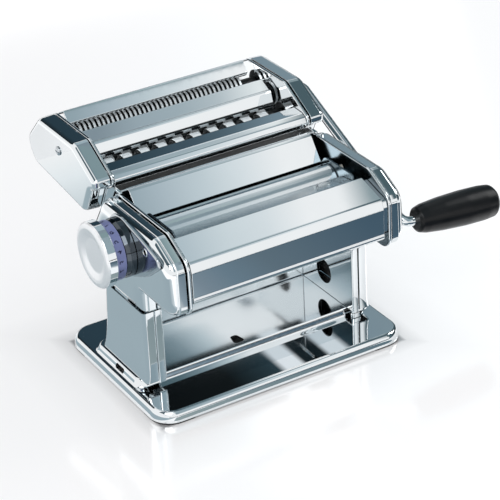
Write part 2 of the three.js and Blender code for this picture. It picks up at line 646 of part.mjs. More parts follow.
function knobCollar() {
  const x0 = RING_IN + 0.6;
  const tube = turnedX([[x0, 0], [x0, 20.2], [x0 + 3.6, 21.4], [PLATE_OUT - GAP, 21.4],
    [PLATE_OUT - GAP, 0]], FRONT_ROLL_Y, FRONT_ROLL_Z, 32);
  return cut(tube, rodX(17.2, x0 - 1, PLATE_OUT + 1, FRONT_ROLL_Y, FRONT_ROLL_Z, 24));
}

const SPRING_R = SHOULDER_R - 1.2;

// The coil that draws the knob in, between the ring's web and the shaft's shoulder.
function knobSpring() {
  const turns = 3;
  const x0 = RING_OUT + RING_WEB + 0.8;
  const x1 = SHOULDER_X - 0.8;
  class Helix extends THREE.Curve {
    getPoint(t, target = new THREE.Vector3()) {
      const a = t * turns * 2 * Math.PI;
      return target.set(x0 + (x1 - x0) * t, FRONT_ROLL_Y + SPRING_R * Math.cos(a),
        FRONT_ROLL_Z + SPRING_R * Math.sin(a));
    }
  }
  const wire = new THREE.Shape();
  wire.absarc(0, 0, 0.5, 0, 2 * Math.PI, false);
  const tube = new THREE.ExtrudeGeometry(wire,
    { steps: turns * 10, extrudePath: new Helix(), curveSegments: 2 });
  return solid(tube);
}

function knobPlate() {
  const y = FRONT_ROLL_Y;
  const z = FRONT_ROLL_Z;
  const bell = outline([[-75.8, 126.8, 3], [-56, 111.6, 20], [-36, 103, 12], [-3, 98, 20],
    [-1, 148, 20], [-50, 138.8, 10], [-74.5, 133.2, 4]], 0, 6);
  const sheet = slabX(bell, PLATE_OUT, -COVER_OUT - GAP);
  const eyelet = rodX(2.1, PLATE_OUT - 1, -COVER_OUT + 1, -57.5, 131.6, 14);
  return cut(sheet, eyelet, boreX(KNOB_SHAFT_R + GAP, PLATE_OUT - 1, -COVER_OUT + 1, y, z));
}

// ---- cutter attachment --------------------------------------------------
const WIDE_REAR = [BODY_REAR[0] + CUTTER_BACK, BODY_REAR[1] + CUTTER_UP];
const FINE_REAR = [WIDE_REAR[0] + FINE_BACK, WIDE_REAR[1] + FINE_UP];

// Points measured from the wide pair's rear axis, with any corner radius left as it is.
const onCutter = (points) => points.map(([y, z, ...radius]) =>
  [WIDE_REAR[0] + y, WIDE_REAR[1] + z, ...radius]);

const CUTTER = onCutter([[-50, 9.8, 4], [-41, 6.1, 5], [-29, -15.9, 5], [50, -6.9, 12],
  [60, 10.6, 9], [36, 34.2, 10], [-19, 34.2, 11], [-50, 16.9, 4]]);
const fineTilt = rad(FINE_TILT);
const FINE_FRONT = [FINE_REAR[0] - CUT_PITCH * Math.cos(fineTilt),
  FINE_REAR[1] - CUT_PITCH * Math.sin(fineTilt)];
const wideTilt = rad(WIDE_TILT);
const WIDE_FRONT = [WIDE_REAR[0] - CUT_PITCH * Math.cos(wideTilt),
  WIDE_REAR[1] - CUT_PITCH * Math.sin(wideTilt)];
const CUT_TIES = onCutter([[46, -1.6], [-33.5, 10.2]]);
const [COVER_SCREW] = onCutter([[4, 20.1]]);
const SCREW_R = 1.6;

function cutterFrame(side) {
  const x1 = FRAME_IN + FRAME_T;
  const plate = slabX(outline(CUTTER, 0, 4), FRAME_IN, x1);
  const bores = [FINE_FRONT, FINE_REAR, WIDE_FRONT, WIDE_REAR].map(([y, z]) =>
    boreX(SHAFT_R + RUN, FRAME_IN - 1, x1 + 1, y, z));
  const ties = CUT_TIES.map(([y, z]) => boreX(TIE_NECK + RUN, FRAME_IN - 1, x1 + 1, y, z));
  const frame = cut(plate, ...bores, ...ties);
  if (side > 0) return frame;
  return mirrorX(cut(frame, boreX(SCREW_R + RUN, FRAME_IN - 1, x1 + 1, ...COVER_SCREW)));
}

function cutterCover(side) {
  const outer = [[COVER_IN, 0], [COVER_OUT - 4, 0.6], [COVER_OUT - 1.2, 2.2], [COVER_OUT, 4.2]];
  const inner = [[COVER_IN - 1, COVER_WALL], [COVER_OUT - 4.4, 0.6 + COVER_WALL],
    [COVER_OUT - COVER_WALL, 3.4 + COVER_WALL]];
  const shell = drawnShell(CUTTER, outer, inner);
  const posts = onCutter([[50.5, 4.6], [-9, 23.6]]).map(([y, z]) =>
    rodX(2.6, FRAME_IN + FRAME_T + GAP, COVER_OUT - 0.6, y, z, 12));
  const cover = join(shell, ...posts);
  if (side < 0) {
    const post = rodX(4, FRAME_IN + FRAME_T + GAP, COVER_OUT - 0.6, ...COVER_SCREW);
    return mirrorX(cut(join(cover, post),
      boreX(SCREW_R + RUN, FRAME_IN, COVER_OUT + 1, ...COVER_SCREW)));
  }
  return cut(cover, ...[FINE_FRONT, WIDE_REAR].map((at) =>
    boreX(HUB_R + 0.8, COVER_OUT - 4, COVER_OUT + 1, ...at)));
}

function cutterScrew() {
  const [y, z] = COVER_SCREW;
  const head = COVER_OUT + 1.7;
  const screw = turnedX([[-head, 0], [-head, 1.8], [-head + 0.7, 3.2], [-COVER_OUT - GAP, 3.4],
    [-COVER_OUT - GAP, SCREW_R], [-FRAME_IN, SCREW_R], [-FRAME_IN, 0]], y, z, 14);
  return cut(screw, box(-head - 1, -head + 0.9, y - 4, y + 4, z - 0.4, z + 0.4));
}

// Two planes of gears side by side in the room inside a cover.
const CUT_GEAR = (COVER_DEEP - GAP) / 2 - 2.15;
const PLANE_A = [COVER_IN + 1, COVER_IN + 1 + CUT_GEAR];
const PLANE_B = [PLANE_A[1] + GAP, PLANE_A[1] + GAP + CUT_GEAR];

// A cutter roller: discs of full radius with grooves between them, so that a disc of one
// roller of the pair faces a groove of the other.
function cutterRoller([y, z], discs, grooveFirst, rootR, steps, plane, driven) {
  const pitch = (2 * CUT_LEN) / discs;
  const left = -FRAME_IN - FRAME_T - 0.4;
  const right = plane[1] + GAP;
  const radii = grooveFirst ? [rootR, CUT_R] : [CUT_R, rootR];
  const profile = [[left, 0], [left, SHAFT_R], [-CUT_LEN, SHAFT_R]];
  for (let i = 0; i < 2 * discs; i++) {
    const x = -CUT_LEN + (i * pitch) / 2;
    profile.push([x, radii[i % 2]], [x + pitch / 2, radii[i % 2]]);
  }
  profile.push([CUT_LEN, SHAFT_R], [right, SHAFT_R]);
  profile.push(...(driven ? [[right, HUB_R], [HUB_END, HUB_R], [HUB_END, 0]] : [[right, 0]]));
  const roller = turnedX(profile, y, z, steps);
  return driven ? cut(roller, socketAt(y, z)) : roller;
}

const THROAT_HALF = 75.4;         // half length of the bright plates beside the cutter throats

function cutterRearPlate() {
  const face = bentSheet(onCutter([[28.8, 24.2], [27.3, 26.6], [32.6, 33.2], [33.6, 34],
    [38, 31]]), 1, THROAT_HALF);
  return join(face, bentSheet(onCutter([[33.6, 34], [38, 31]]), 1, BETWEEN));
}

// Splits the two throats; its foot reaches the frames.
function cutterMiddleGuide() {
  const face = bentSheet(onCutter([[8.5, 24.6], [7.9, 27], [6.6, 27.8], [-3.4, 23], [-5.4, 23.5],
    [-6.2, 22.4], [-9, 14], [-8.6, 12.2]]), 1, THROAT_HALF);
  return join(face, bentSheet(onCutter([[8.5, 24.6], [7.9, 27]]), 1, BETWEEN));
}

// The rounded bar along the attachment's front, carried in below the wide pair.
function cutterFrontBar() {
  return bentSheet(onCutter([[-31.2, 16.2], [-32.8, 18.6], [-44, 18], [-47.6, 16.4], [-49.2, 13],
    [-48.4, 9.2], [-45.4, 7.4], [-30.6, -7]]), SHEET, BETWEEN);
}

// The plate that hooks the attachment over the body's rear edge.
function hook() {
  const cutterEdge = onCutter([[-30.4, -16, 1], [-41.4, 4.9, 1], [-50.4, 9.4, 0.6]]);
  const lip = TOP_Z + 2.2;
  return slabX(outline([[BODY_REAR[0] + 1.7, BODY_REAR[1] + 0.9, 0.8], ...cutterEdge,
    [6.5, lip + 1.5, 0.5], [6.5, lip, 0.3], [13.9, lip, 0.3]], 0, 2), FRAME_IN, FRAME_IN + FRAME_T);
}

// ---- crank --------------------------------------------------------------
const droop = rad(GRIP_DROOP);
const GRIP_DIR = new THREE.Vector3(Math.cos(droop), 0, -Math.sin(droop));
const BEND_STEPS = 5;
const GRIP_AT = new THREE.Vector3(ARM_X, GRIP_Y, GRIP_Z);

// A round rod through the given points with its corners bent to radius r.
function bentRod(points, rodR, bendR, sides) {
  const last = points.length - 1;
  const run = points.slice(1).map((p, i) => p.clone().sub(points[i]).normalize());
  const stations = [[points[0], run[0]]];
  for (let i = 1; i < last; i++) {
    const [u, v] = [run[i - 1], run[i]];
    const turn = u.angleTo(v);
    const axis = u.clone().cross(v).normalize();
    const start = points[i].clone().addScaledVector(u, -bendR * Math.tan(turn / 2));
    const hub = start.clone().addScaledVector(axis.clone().cross(u), bendR);
    for (let k = 0; k <= BEND_STEPS; k++) {
      const angle = (turn * k) / BEND_STEPS;
      stations.push([start.clone().sub(hub).applyAxisAngle(axis, angle).add(hub),
        u.clone().applyAxisAngle(axis, angle)]);
    }
  }
  stations.push([points[last], run[last - 1]]);
  let across = new THREE.Vector3(0, 0, 1).cross(run[0]).normalize();
  let before = run[0];
  const rings = stations.map(([at, along]) => {
    across.applyQuaternion(new THREE.Quaternion().setFromUnitVectors(before, along));
    before = along;
    return [...Array(sides).keys()].map((i) => across.clone().multiplyScalar(rodR)
      .applyAxisAngle(along, (2 * Math.PI * i) / sides).add(at));
  });
  return solid(loft(rings));
}

const GRIP_START = 10.2;          // along the grip's axis from the arm's plane
const GRIP_LEN = 70.5;

function crankRod() {
  const [y, z] = FINE_FRONT;
  const shaftEnd = new THREE.Vector3(COVER_OUT + 4, y, z);
  const elbow = new THREE.Vector3(ARM_X, y, z);
  const rodEnd = GRIP_AT.clone().addScaledVector(GRIP_DIR, GRIP_START + GRIP_LEN - 3);
  const rod = bentRod([shaftEnd, elbow, GRIP_AT, rodEnd], ROD_R, 7, 10);
  const half = SOCKET - 0.25;
  const square = box(HUB_END - SOCKET_DEEP + 0.5, COVER_OUT + 5,
    y - half, y + half, z - half, z + half);
  return join(square, rod);
}

// Turned about the grip's own axis; profile is [distance along the axis, radius].
function onGripAxis(profile, steps) {
  const geometry = new THREE.LatheGeometry(profile.map(([d, r]) => new THREE.Vector2(r, d)), steps);
  const turn = new THREE.Quaternion().setFromUnitVectors(new THREE.Vector3(0, 1, 0), GRIP_DIR);
  geometry.applyQuaternion(turn);
  geometry.translate(GRIP_AT.x, GRIP_AT.y, GRIP_AT.z);
  return solid(geometry);
}

const GRIP_BORE = ROD_R + 0.25;

function crankGrip() {
  const s = GRIP_START;
  const e = s + GRIP_LEN;
  const shell = onGripAxis([[s, 0], [s, 7], [s + 1.4, 9.3], [s + 7, 10.9], [s + 22, 12.4],
    [s + 42, 13.3], [s + 59, 13.1], [e - 3.4, 12.2], [e - 1, 10.4], [e, 7.6], [e, 0]], 22);
  return cut(shell, onGripAxis([[s - 2, 0], [s - 2, GRIP_BORE / 0.97], [e + 2, GRIP_BORE / 0.97],
    [e + 2, 0]], 14));
}

function gripCap() {
  const e = GRIP_START + GRIP_LEN;
  return onGripAxis([[e - 2.6, 0], [e - 2.6, GRIP_BORE - 0.1], [e + 0.2, GRIP_BORE - 0.1],
    [e + 0.3, 5.2], [e + 0.9, 4.6], [e + 1.5, 2.4], [e + 1.5, 0]], 14);
}

// ---- assembly -----------------------------------------------------------
add('base_tray', baseTray(), CHROME);
add('foot_front_left', corner(-1, -1), RUBBER);
add('foot_front_right', corner(1, -1), RUBBER);
add('foot_rear_left', corner(-1, 1), RUBBER);
add('foot_rear_right', corner(1, 1), RUBBER);

add('stand_back_panel', standBackPanel(), CHROME);
add('stand_wall_left', mirrorX(standWall()), CHROME);
add('stand_wall_right', standWall(), CHROME);
add('stand_shell_left', mirrorX(standShell()), CHROME);
add('stand_shell_right', standShell(), CHROME);

add('side_frame_left', mirrorX(sideFrame()), CHROME);
add('side_frame_right', sideFrame(), CHROME);
add('side_cover_left', sideCover(-1), CHROME);
add('side_cover_right', sideCover(1), CHROME);
add('front_panel', frontPanel(), CHROME);
add('front_guard', frontGuard(), STEEL);
add('rear_panel', rearPanel(), CHROME);
add('guide_left', mirrorX(guide()), STEEL);
add('guide_right', guide(), STEEL);

add('roller_front', smoothRoller(FRONT_ROLL_Y, FRONT_ROLL_Z, false), CHROME);
add('roller_rear', smoothRoller(REAR_ROLL_Y, REAR_ROLL_Z, true), CHROME);
gearPair(['gear_front', 'gear_rear'], MAIN_TEETH, MAIN_GEAR,
  [FRONT_ROLL_Y, FRONT_ROLL_Z], [REAR_ROLL_Y, REAR_ROLL_Z]);
add('bearing_block_left', bearingBlock(-1), NYLON);
add('bearing_block_right', bearingBlock(1), NYLON);
add('rear_bush_left', mirrorX(rearBush()), NYLON);
add('rear_bush_right', rearBush(), NYLON);
add('tie_rod_front', tieRod(...TIE_RODS[0]), STEEL);
add('tie_rod_rear', tieRod(...TIE_RODS[1]), STEEL);
add('scraper_rear', scraper(5.6, 99.4, 50), STEEL);

add('knob_plate', knobPlate(), CHROME);
add('knob_collar', knobCollar(), CHROME);
add('knob_shaft', knobShaft(), STEEL);
add('knob_cap', knobCap(), CHROME);
add('number_ring', numberRing(), RING);
add('knob_spring', knobSpring(), STEEL);

add('cutter_frame_left', cutterFrame(-1), CHROME);
add('cutter_frame_right', cutterFrame(1), CHROME);
add('cutter_cover_left', cutterCover(-1), CHROME);
add('cutter_cover_right', cutterCover(1), CHROME);
add('cutter_screw', cutterScrew(), STEEL);
add('cutter_rear_plate', cutterRearPlate(), CHROME);
add('cutter_middle_guide', cutterMiddleGuide(), CHROME);
add('cutter_front_bar', cutterFrontBar(), CHROME);
CUT_TIES.forEach(([y, z], i) => add(['cutter_tie_rear', 'cutter_tie_front'][i],
  tieRod(y, z), STEEL));

add('fine_cutter_front', cutterRoller(FINE_FRONT, FINE_DISCS, false, FINE_ROOT, 8, PLANE_B, true),
  STEEL);
add('fine_cutter_rear', cutterRoller(FINE_REAR, FINE_DISCS, true, FINE_ROOT, 8, PLANE_B, false),
  STEEL);
add('wide_cutter_front', cutterRoller(WIDE_FRONT, WIDE_DISCS, false, WIDE_ROOT, 12, PLANE_A, false),
  STEEL);
add('wide_cutter_rear', cutterRoller(WIDE_REAR, WIDE_DISCS, true, WIDE_ROOT, 12, PLANE_A, true),
  STEEL);
gearPair(['wide_gear_front', 'wide_gear_rear'], CUT_TEETH, PLANE_A, WIDE_FRONT, WIDE_REAR);
gearPair(['fine_gear_front', 'fine_gear_rear'], CUT_TEETH, PLANE_B, FINE_FRONT, FINE_REAR);
add('hook_left', mirrorX(hook()), STEEL);
add('hook_right', hook(), STEEL);

add('crank_rod', crankRod(), CHROME);
add('crank_grip', crankGrip(), BLACK);
add('grip_cap', gripCap(), DARK_STEEL);

group.position.set(-MIDDLE_X, -MIDDLE_Y, 0);

export default group;
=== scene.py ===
"""Pasta roller machine with its slide-on cutter attachment: polished sheet steel, a thickness
knob with a numbered ring, two pairs of cutting rollers and a crank with a turning grip.

Drawn in millimetres about the middle of the base, X along the rollers, -Y the front, Z up.
"""

import math

import bpy
import numpy as np
from bpy.props import FloatProperty, FloatVectorProperty, IntProperty, PointerProperty
from mathutils import Matrix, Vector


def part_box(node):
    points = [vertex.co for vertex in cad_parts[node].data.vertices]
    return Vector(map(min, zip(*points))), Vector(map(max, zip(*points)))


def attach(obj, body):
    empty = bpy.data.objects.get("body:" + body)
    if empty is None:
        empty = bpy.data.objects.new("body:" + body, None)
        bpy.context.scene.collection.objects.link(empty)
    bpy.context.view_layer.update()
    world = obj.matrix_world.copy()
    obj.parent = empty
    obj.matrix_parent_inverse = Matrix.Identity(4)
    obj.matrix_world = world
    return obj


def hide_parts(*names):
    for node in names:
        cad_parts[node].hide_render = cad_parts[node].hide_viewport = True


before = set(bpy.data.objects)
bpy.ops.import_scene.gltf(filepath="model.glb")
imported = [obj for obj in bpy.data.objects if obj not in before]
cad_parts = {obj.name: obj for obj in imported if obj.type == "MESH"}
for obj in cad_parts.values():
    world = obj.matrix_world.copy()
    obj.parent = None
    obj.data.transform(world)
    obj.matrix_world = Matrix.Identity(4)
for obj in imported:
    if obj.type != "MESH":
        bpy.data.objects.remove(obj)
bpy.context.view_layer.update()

bl_info = {
    "name": "Pasta roller machine",
    "version": (1, 0, 0),
    "blender": (4, 5, 0),
    "location": "3D View > Sidebar > Pasta roller",
    "description": "Builds the visible pieces of a hand-cranked pasta roller and its stage",
    "category": "Object",
}

MM = 0.001
BASE_LOW, BASE_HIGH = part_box("base_tray")
MIDDLE = np.array([(BASE_LOW.x + BASE_HIGH.x) / 2, (BASE_LOW.y + BASE_HIGH.y) / 2, 0.0])


# ---- colours ----
def linear(code):
    """An sRGB hex colour as linear red, green and blue."""
    value = np.array([int(code[i:i + 2], 16) for i in (0, 2, 4)]) / 255
    return tuple(np.where(value <= 0.04045, value / 12.92, ((value + 0.055) / 1.055) ** 2.4))


# ---- shapes ----
def unit(vectors):
    """Each row divided by its length."""
    return vectors / np.maximum(np.linalg.norm(vectors, axis=-1, keepdims=True), 1e-12)


def left_of(runs):
    """Each 2-D direction turned a quarter to the left."""
    return np.stack([-runs[:, 1], runs[:, 0]], 1)


def turn_of(u, v):
    """The signed angle from each direction u to its v."""
    return np.arctan2(u[:, 0] * v[:, 1] - u[:, 1] * v[:, 0], (u * v).sum(1))


def arcs(start, run, turn, radius, steps):
    """Points of arcs that leave start along run and turn by turn: start is swung about the centre
    that lies radius to the side of the turn."""
    centre = start + left_of(run) * (np.where(turn < 0, -1.0, 1.0) * radius)[:, None]
    angle = turn[:, None] * np.linspace(0, 1, steps + 1)
    spoke = (start - centre)[:, None, :]
    x = spoke[..., 0] * np.cos(angle) - spoke[..., 1] * np.sin(angle) + centre[:, None, 0]
    y = spoke[..., 0] * np.sin(angle) + spoke[..., 1] * np.cos(angle) + centre[:, None, 1]
    return np.stack([x.ravel(), y.ravel()], 1)


def outline(corners, inset=0.0, steps=8):
    """Closed outline of a polygon whose corners (a, b, radius) are arcs: corner i is moved in by
    inset along both its sides, and its arc of radius r starts r tan(turn / 2) before it."""
    c = np.array(corners, float)
    p, r = c[:, :2], c[:, 2]
    u, v = unit(p - np.roll(p, 1, 0)), unit(np.roll(p, -1, 0) - p)
    nu, nv = left_of(u), left_of(v)
    at = p + (nu + nv) * (inset / (1 + (nu * nv).sum(1)))[:, None]
    turn = turn_of(u, v)
    radius = np.maximum(r - np.sign(turn) * inset, 0.05)
    return arcs(at - u * (radius * np.tan(np.abs(turn) / 2))[:, None], u, turn, radius, steps)


def bent_line(points, steps=6):
    """An open line of (a, b, radius) whose inner corners are arcs of that radius, or of a lesser
    one where an arc would take up half of a neighbouring run."""
    c = np.array(points, float)
    p, q, s = c[1:-1, :2], c[:-2, :2], c[2:, :2]
    u, v = unit(p - q), unit(s - p)
    turn = turn_of(u, v)
    shorter = np.minimum(np.linalg.norm(p - q, axis=1), np.linalg.norm(s - p, axis=1))
    reach = np.minimum(c[1:-1, 2] * np.tan(np.abs(turn) / 2), 0.49 * shorter)
    radius = reach / np.maximum(np.tan(np.abs(turn) / 2), 1e-9)
    bends = arcs(p - u * reach[:, None], u, turn, radius, steps)
    return np.concatenate([c[:1, :2], bends, c[-1:, :2]])


def normals_of(points, closed):
    """The left-hand normal at each point of a line, halfway between its two runs."""
    if closed:
        along = unit(np.roll(points, -1, 0) - points)
        before = np.roll(along, 1, 0)
    else:
        along = unit(np.diff(points, axis=0))
        before = np.concatenate([along[:1], along])
        along = np.concatenate([along, along[-1:]])
    mean = unit(along + before)
    stretch = 1 / np.maximum((mean * along).sum(1), 0.5)
    return left_of(mean) * stretch[:, None]


def sheet_section(points, thick, steps=6):
    """Section of a bent sheet: its middle line carried half the thickness to each side, with
    half-round edges."""
    line = bent_line(points, steps)
    normal = normals_of(line, False) * thick / 2
    ends = []
    for at, out in ((line[-1], unit(line[-1] - line[-2])), (line[0], unit(line[0] - line[1]))):
        side = np.array([out[1], -out[0]])
        a = np.linspace(0, math.pi, 7)[1:-1, None]
        ends.append(at + (side * np.cos(a) + out * np.sin(a)) * thick / 2)
    return np.concatenate([line - normal, ends[0], (line + normal)[::-1], ends[1]])


def loft(rings):
    """Skin over rings of equal point count, rings[i][j] joined to its four neighbours, with a
    flat face over each end."""
    rings = np.asarray(rings, float)
    rows, n = rings.shape[:2]
    i, j = np.meshgrid(np.arange(rows - 1), np.arange(n), indexing="ij")
    k = (j + 1) % n
    quads = np.stack([i * n + j, i * n + k, (i + 1) * n + k, (i + 1) * n + j], -1).reshape(-1, 4)
    ends = [list(range(n))[::-1], list(range((rows - 1) * n, rows * n))]
    return rings.reshape(-1, 3), quads.tolist() + ends


def ring_x(points, x):
    """Points of the Y-Z plane placed at x."""
    return np.concatenate([np.full((len(points), 1), float(x)), points], 1)


def ring_z(points, z):
    """Points of the X-Y plane placed at z."""
    return np.concatenate([points, np.full((len(points), 1), float(z))], 1)


def oblong(y, z, half_y, half_z, radius):
    """Corners of a rectangle about a point of the Y-Z plane, all of one radius."""
    return [[y - half_y, z - half_z, radius], [y + half_y, z - half_z, radius],
            [y + half_y, z + half_z, radius], [y - half_y, z + half_z, radius]]


def circle(y, z, radius):
    """A circle about a point of the Y-Z plane."""
    a = np.linspace(0, 2 * math.pi, 48, endpoint=False)
    return np.stack([y + radius * np.cos(a), z + radius * np.sin(a)], 1)


def prism(ring, x0, x1):
    """A ring of the Y-Z plane carried from x0 to x1, for cutting with."""
    return loft([ring_x(ring, x0), ring_x(ring, x1)])


def round_ends(x0, x1, r):
    """Stations (x, inset) of a slab whose two faces meet its rim in quarter rounds of radius r:
    x = x0 + r (1 - cos t), inset = r (1 - sin t)."""
    t = np.linspace(0, math.pi / 2, 4)
    near = np.stack([x0 + r * (1 - np.cos(t)), r * (1 - np.sin(t))], 1)
    far = np.stack([x1 - r * (1 - np.cos(t)), r * (1 - np.sin(t))], 1)[::-1]
    return np.concatenate([near, far]).tolist()


def slab(corners, x0, x1, r=0.35, steps=8):
    """A plate parallel to Y-Z with a rounded rim."""
    return loft([ring_x(outline(corners, inset, steps), x) for x, inset in
                 round_ends(x0, x1, r)])


def sheet_metal(points, thick, x0, x1):
    """A bent sheet carried along X, its two ends softened by insets along its normals."""
    section = sheet_section(points, thick)
    inward = normals_of(section, True)
    return loft([ring_x(section + inward * inset, x)
                 for x, inset in round_ends(x0, x1, 0.28)])


def turned(profile, y, z, sides=64, steps=3, soft=0.3):
    """A solid of revolution about an axis along X: ring i has radius r(i) at x(i), and each
    corner of the profile is an arc of radius soft, or of its own third value."""
    rows = [(p[0], p[1], p[2] if len(p) > 2 else soft) for p in profile]
    line = bent_line(rows, steps)
    a = np.linspace(0, 2 * math.pi, sides, endpoint=False)
    x = np.repeat(line[:, :1], sides, 1)
    r = np.maximum(line[:, 1:2], 1e-3)
    return loft(np.stack([x, y + r * np.cos(a)[None], z + r * np.sin(a)[None]], -1))


def tube(path, radius, sides):
    """A circle of the given radius carried along a path of 3-D points, turned as little as the
    path allows from one station to the next."""
    run = unit(np.gradient(path, axis=0))
    across = unit(np.cross(run[0], [0.3, 0.2, 1.0]))
    a = np.linspace(0, 2 * math.pi, sides, endpoint=False)[:, None]
    rings = []
    for at, along in zip(path, run):
        across = unit(across - along * (across @ along))
        rings.append(at + radius * (across * np.cos(a) + np.cross(along, across) * np.sin(a)))
    return loft(rings)


def bent_path(points, radius):
    """A 3-D line through the points with each inner corner turned to an arc of that radius."""
    out = [np.array(points[0], float)[None]]
    for q, p, s in zip(points[:-2], points[1:-1], points[2:]):
        q, p, s = (np.array(w, float) for w in (q, p, s))
        u, v = unit(p - q), unit(s - p)
        turn = math.acos(float(np.clip(u @ v, -1, 1)))
        start = p - u * radius * math.tan(turn / 2)
        inward = unit(v - u * (u @ v))
        t = np.linspace(0, turn, 13)[:, None]
        out.append(start + radius * (u * np.sin(t) + inward * (1 - np.cos(t))))
    out.append(np.array(points[-1], float)[None])
    return np.concatenate(out)


def mirrored(part):
    """A part carried over to the other side of the Y-Z plane."""
    points, faces = part
    return points * np.array([-1.0, 1.0, 1.0]), [f[::-1] for f in faces]


def on_side(side, parts):
    """Parts drawn for the right side as they are, or mirrored for the left."""
    return [mirrored(part) if side == "left" else part for part in parts]


def outward(part):
    """The part with its faces turned over if its volume comes out negative."""
    points, faces = part
    total = 0.0
    for size in {len(f) for f in faces}:
        f = np.array([g for g in faces if len(g) == size])
        a = points[f[:, 0]][:, None]
        b, c = points[f[:, 1:-1]], points[f[:, 2:]]
        total += (a * np.cross(b, c)).sum()
    return (points, [f[::-1] for f in faces]) if total < 0 else part


# ---- objects ----
def mesh_of(name, parts):
    """One mesh from parts in base millimetres, placed in the row frame in metres."""
    points, faces, first = [], [], 0
    for part in parts:
        points.append(part[0])
        faces += [[i + first for i in f] for f in part[1]]
        first += len(part[0])
    mesh = bpy.data.meshes.new(name)
    mesh.from_pydata((np.concatenate(points) * MM + MIDDLE).tolist(), [], faces)
    return mesh


def put_in_scene(name, data):
    """A new object with that mesh, text, lamp or camera, linked to the scene."""
    obj = bpy.data.objects.new(name, data)
    bpy.context.scene.collection.objects.link(obj)
    return obj


CREASE = 38    # degrees between two faces that still shade as one


def modified(obj):
    """A new mesh from the object as its modifiers leave it."""
    graph = bpy.context.evaluated_depsgraph_get()
    return bpy.data.meshes.new_from_object(obj.evaluated_get(graph))


def settle(obj):
    """Smooths the shading up to the crease angle with big faces setting the normals, and keeps
    the result in the mesh."""
    mesh = obj.data
    mesh.polygons.foreach_set("use_smooth", np.ones(len(mesh.polygons), bool))
    mesh.set_sharp_from_angle(angle=math.radians(CREASE))
    even = obj.modifiers.new("even", "WEIGHTED_NORMAL")
    even.weight = 60
    even.keep_sharp = True
    obj.data = modified(obj)
    obj.modifiers.clear()
    bpy.data.meshes.remove(mesh)


def carve(obj, tools):
    """Takes the closed tool parts out of the object."""
    cutter = put_in_scene("carving_tool", mesh_of("carving_tool", map(outward, tools)))
    step = obj.modifiers.new("carve", "BOOLEAN")
    step.operation = "DIFFERENCE"
    step.solver = "EXACT"
    step.object = cutter
    obj.data = modified(obj)
    obj.modifiers.clear()
    bpy.data.objects.remove(cutter)


def piece(name, parts, body, nodes=(), look="polished_steel", holes=()):
    """A finished piece: its parts joined, carved, shaded, given its look and put on its CAD
    body."""
    obj = put_in_scene(name, mesh_of(name, map(outward, parts)))
    if holes:
        carve(obj, holes)
    settle(obj)
    obj.data.materials.clear()
    obj.data.materials.append(finish(look))
    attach(obj, body)
    if nodes:
        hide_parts(*nodes)
    return obj


def coat(obj, look, chosen):
    """Gives the faces picked by chosen(centre, normal), each an x, y, z triple of arrays with
    the centres in base millimetres, another finish."""
    obj.data.materials.append(finish(look))
    faces = len(obj.data.polygons)
    centre, normal = np.zeros(faces * 3, np.float32), np.zeros(faces * 3, np.float32)
    obj.data.polygons.foreach_get("center", centre)
    obj.data.polygons.foreach_get("normal", normal)
    centre = (centre.reshape(-1, 3).astype(float) - MIDDLE).T / MM
    index = np.zeros(faces, np.int32)
    obj.data.polygons.foreach_get("material_index", index)
    index[chosen(centre, normal.reshape(-1, 3).T)] = len(obj.data.materials) - 1
    obj.data.polygons.foreach_set("material_index", index)


def dress(look, *nodes):
    """Gives CAD nodes that stay in view their finish."""
    for name in nodes:
        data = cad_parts[name].data
        data.materials.clear()
        data.materials.append(finish(look))


# ---- materials ----
def put(tree, kind, settings=None, links=None):
    """Adds one node, with its properties or socket values and the links into it."""
    made = tree.nodes.new(kind)
    for key, value in (settings or {}).items():
        if isinstance(key, str) and hasattr(made, key):
            setattr(made, key, value)
        else:
            made.inputs[key].default_value = value
    for key, source in (links or {}).items():
        tree.links.new(source, made.inputs[key])
    return made


def blank(name):
    """A new node material with nothing in it yet, and its node tree."""
    material = bpy.data.materials.new(name)
    material.use_nodes = True
    material.node_tree.nodes.clear()
    return material, material.node_tree


def per_mm(size):
    """Texture scale in metres for a feature of that many millimetres."""
    return 1000.0 / size


def noise(tree, at, size_mm, detail):
    """A noise texture with a feature every size_mm, read at the given vector."""
    return put(tree, "ShaderNodeTexNoise", {"Scale": per_mm(size_mm), "Detail": detail},
               {"Vector": at})


def surfaced(material, tree, colours, mix, rough, height, depth_um, settings):
    """Ends a material's nodes: two colours mixed, a roughness, and a bump of depth_um
    micrometres, put on one shader with its own settings."""
    tint = put(tree, "ShaderNodeMix",
               {"data_type": "RGBA", 6: (*colours[0], 1), 7: (*colours[1], 1)}, {0: mix})
    bump = put(tree, "ShaderNodeBump", {"Strength": 1.0, "Distance": depth_um * 1e-6},
               {"Height": height})
    shader = put(tree, "ShaderNodeBsdfPrincipled", settings,
                 {"Base Color": tint.outputs[2], "Roughness": rough, "Normal": bump.outputs[0]})
    put(tree, "ShaderNodeOutputMaterial", {}, {"Surface": shader.outputs[0]})
    return material


def polished_metal(name, colour, smooth, rough, wave_mm, wave_um, streak=(1, 1, 1)):
    """Metal sheet or bar: a waviness of wave_um micrometres every wave_mm, and a roughness that
    drifts between smooth and rough like wiped polish; streak stretches the wiping along an
    axis."""
    material, tree = blank(name)
    at = put(tree, "ShaderNodeTexCoord").outputs["Object"]
    stretch = put(tree, "ShaderNodeMapping", {"Scale": streak}, {"Vector": at})
    wiped = noise(tree, stretch.outputs[0], 5, 5.0)
    rough_at = put(tree, "ShaderNodeMapRange",
                   {"From Min": 0.3, "From Max": 0.7, "To Min": smooth, "To Max": rough},
                   {"Value": wiped.outputs["Fac"]})
    film, wave = noise(tree, at, 60, 2.0), noise(tree, at, wave_mm, 1.0)
    return surfaced(material, tree, (colour, [c * 0.93 for c in colour]), film.outputs["Fac"],
                    rough_at.outputs[0], wave.outputs["Fac"], wave_um, {"Metallic": 1.0})


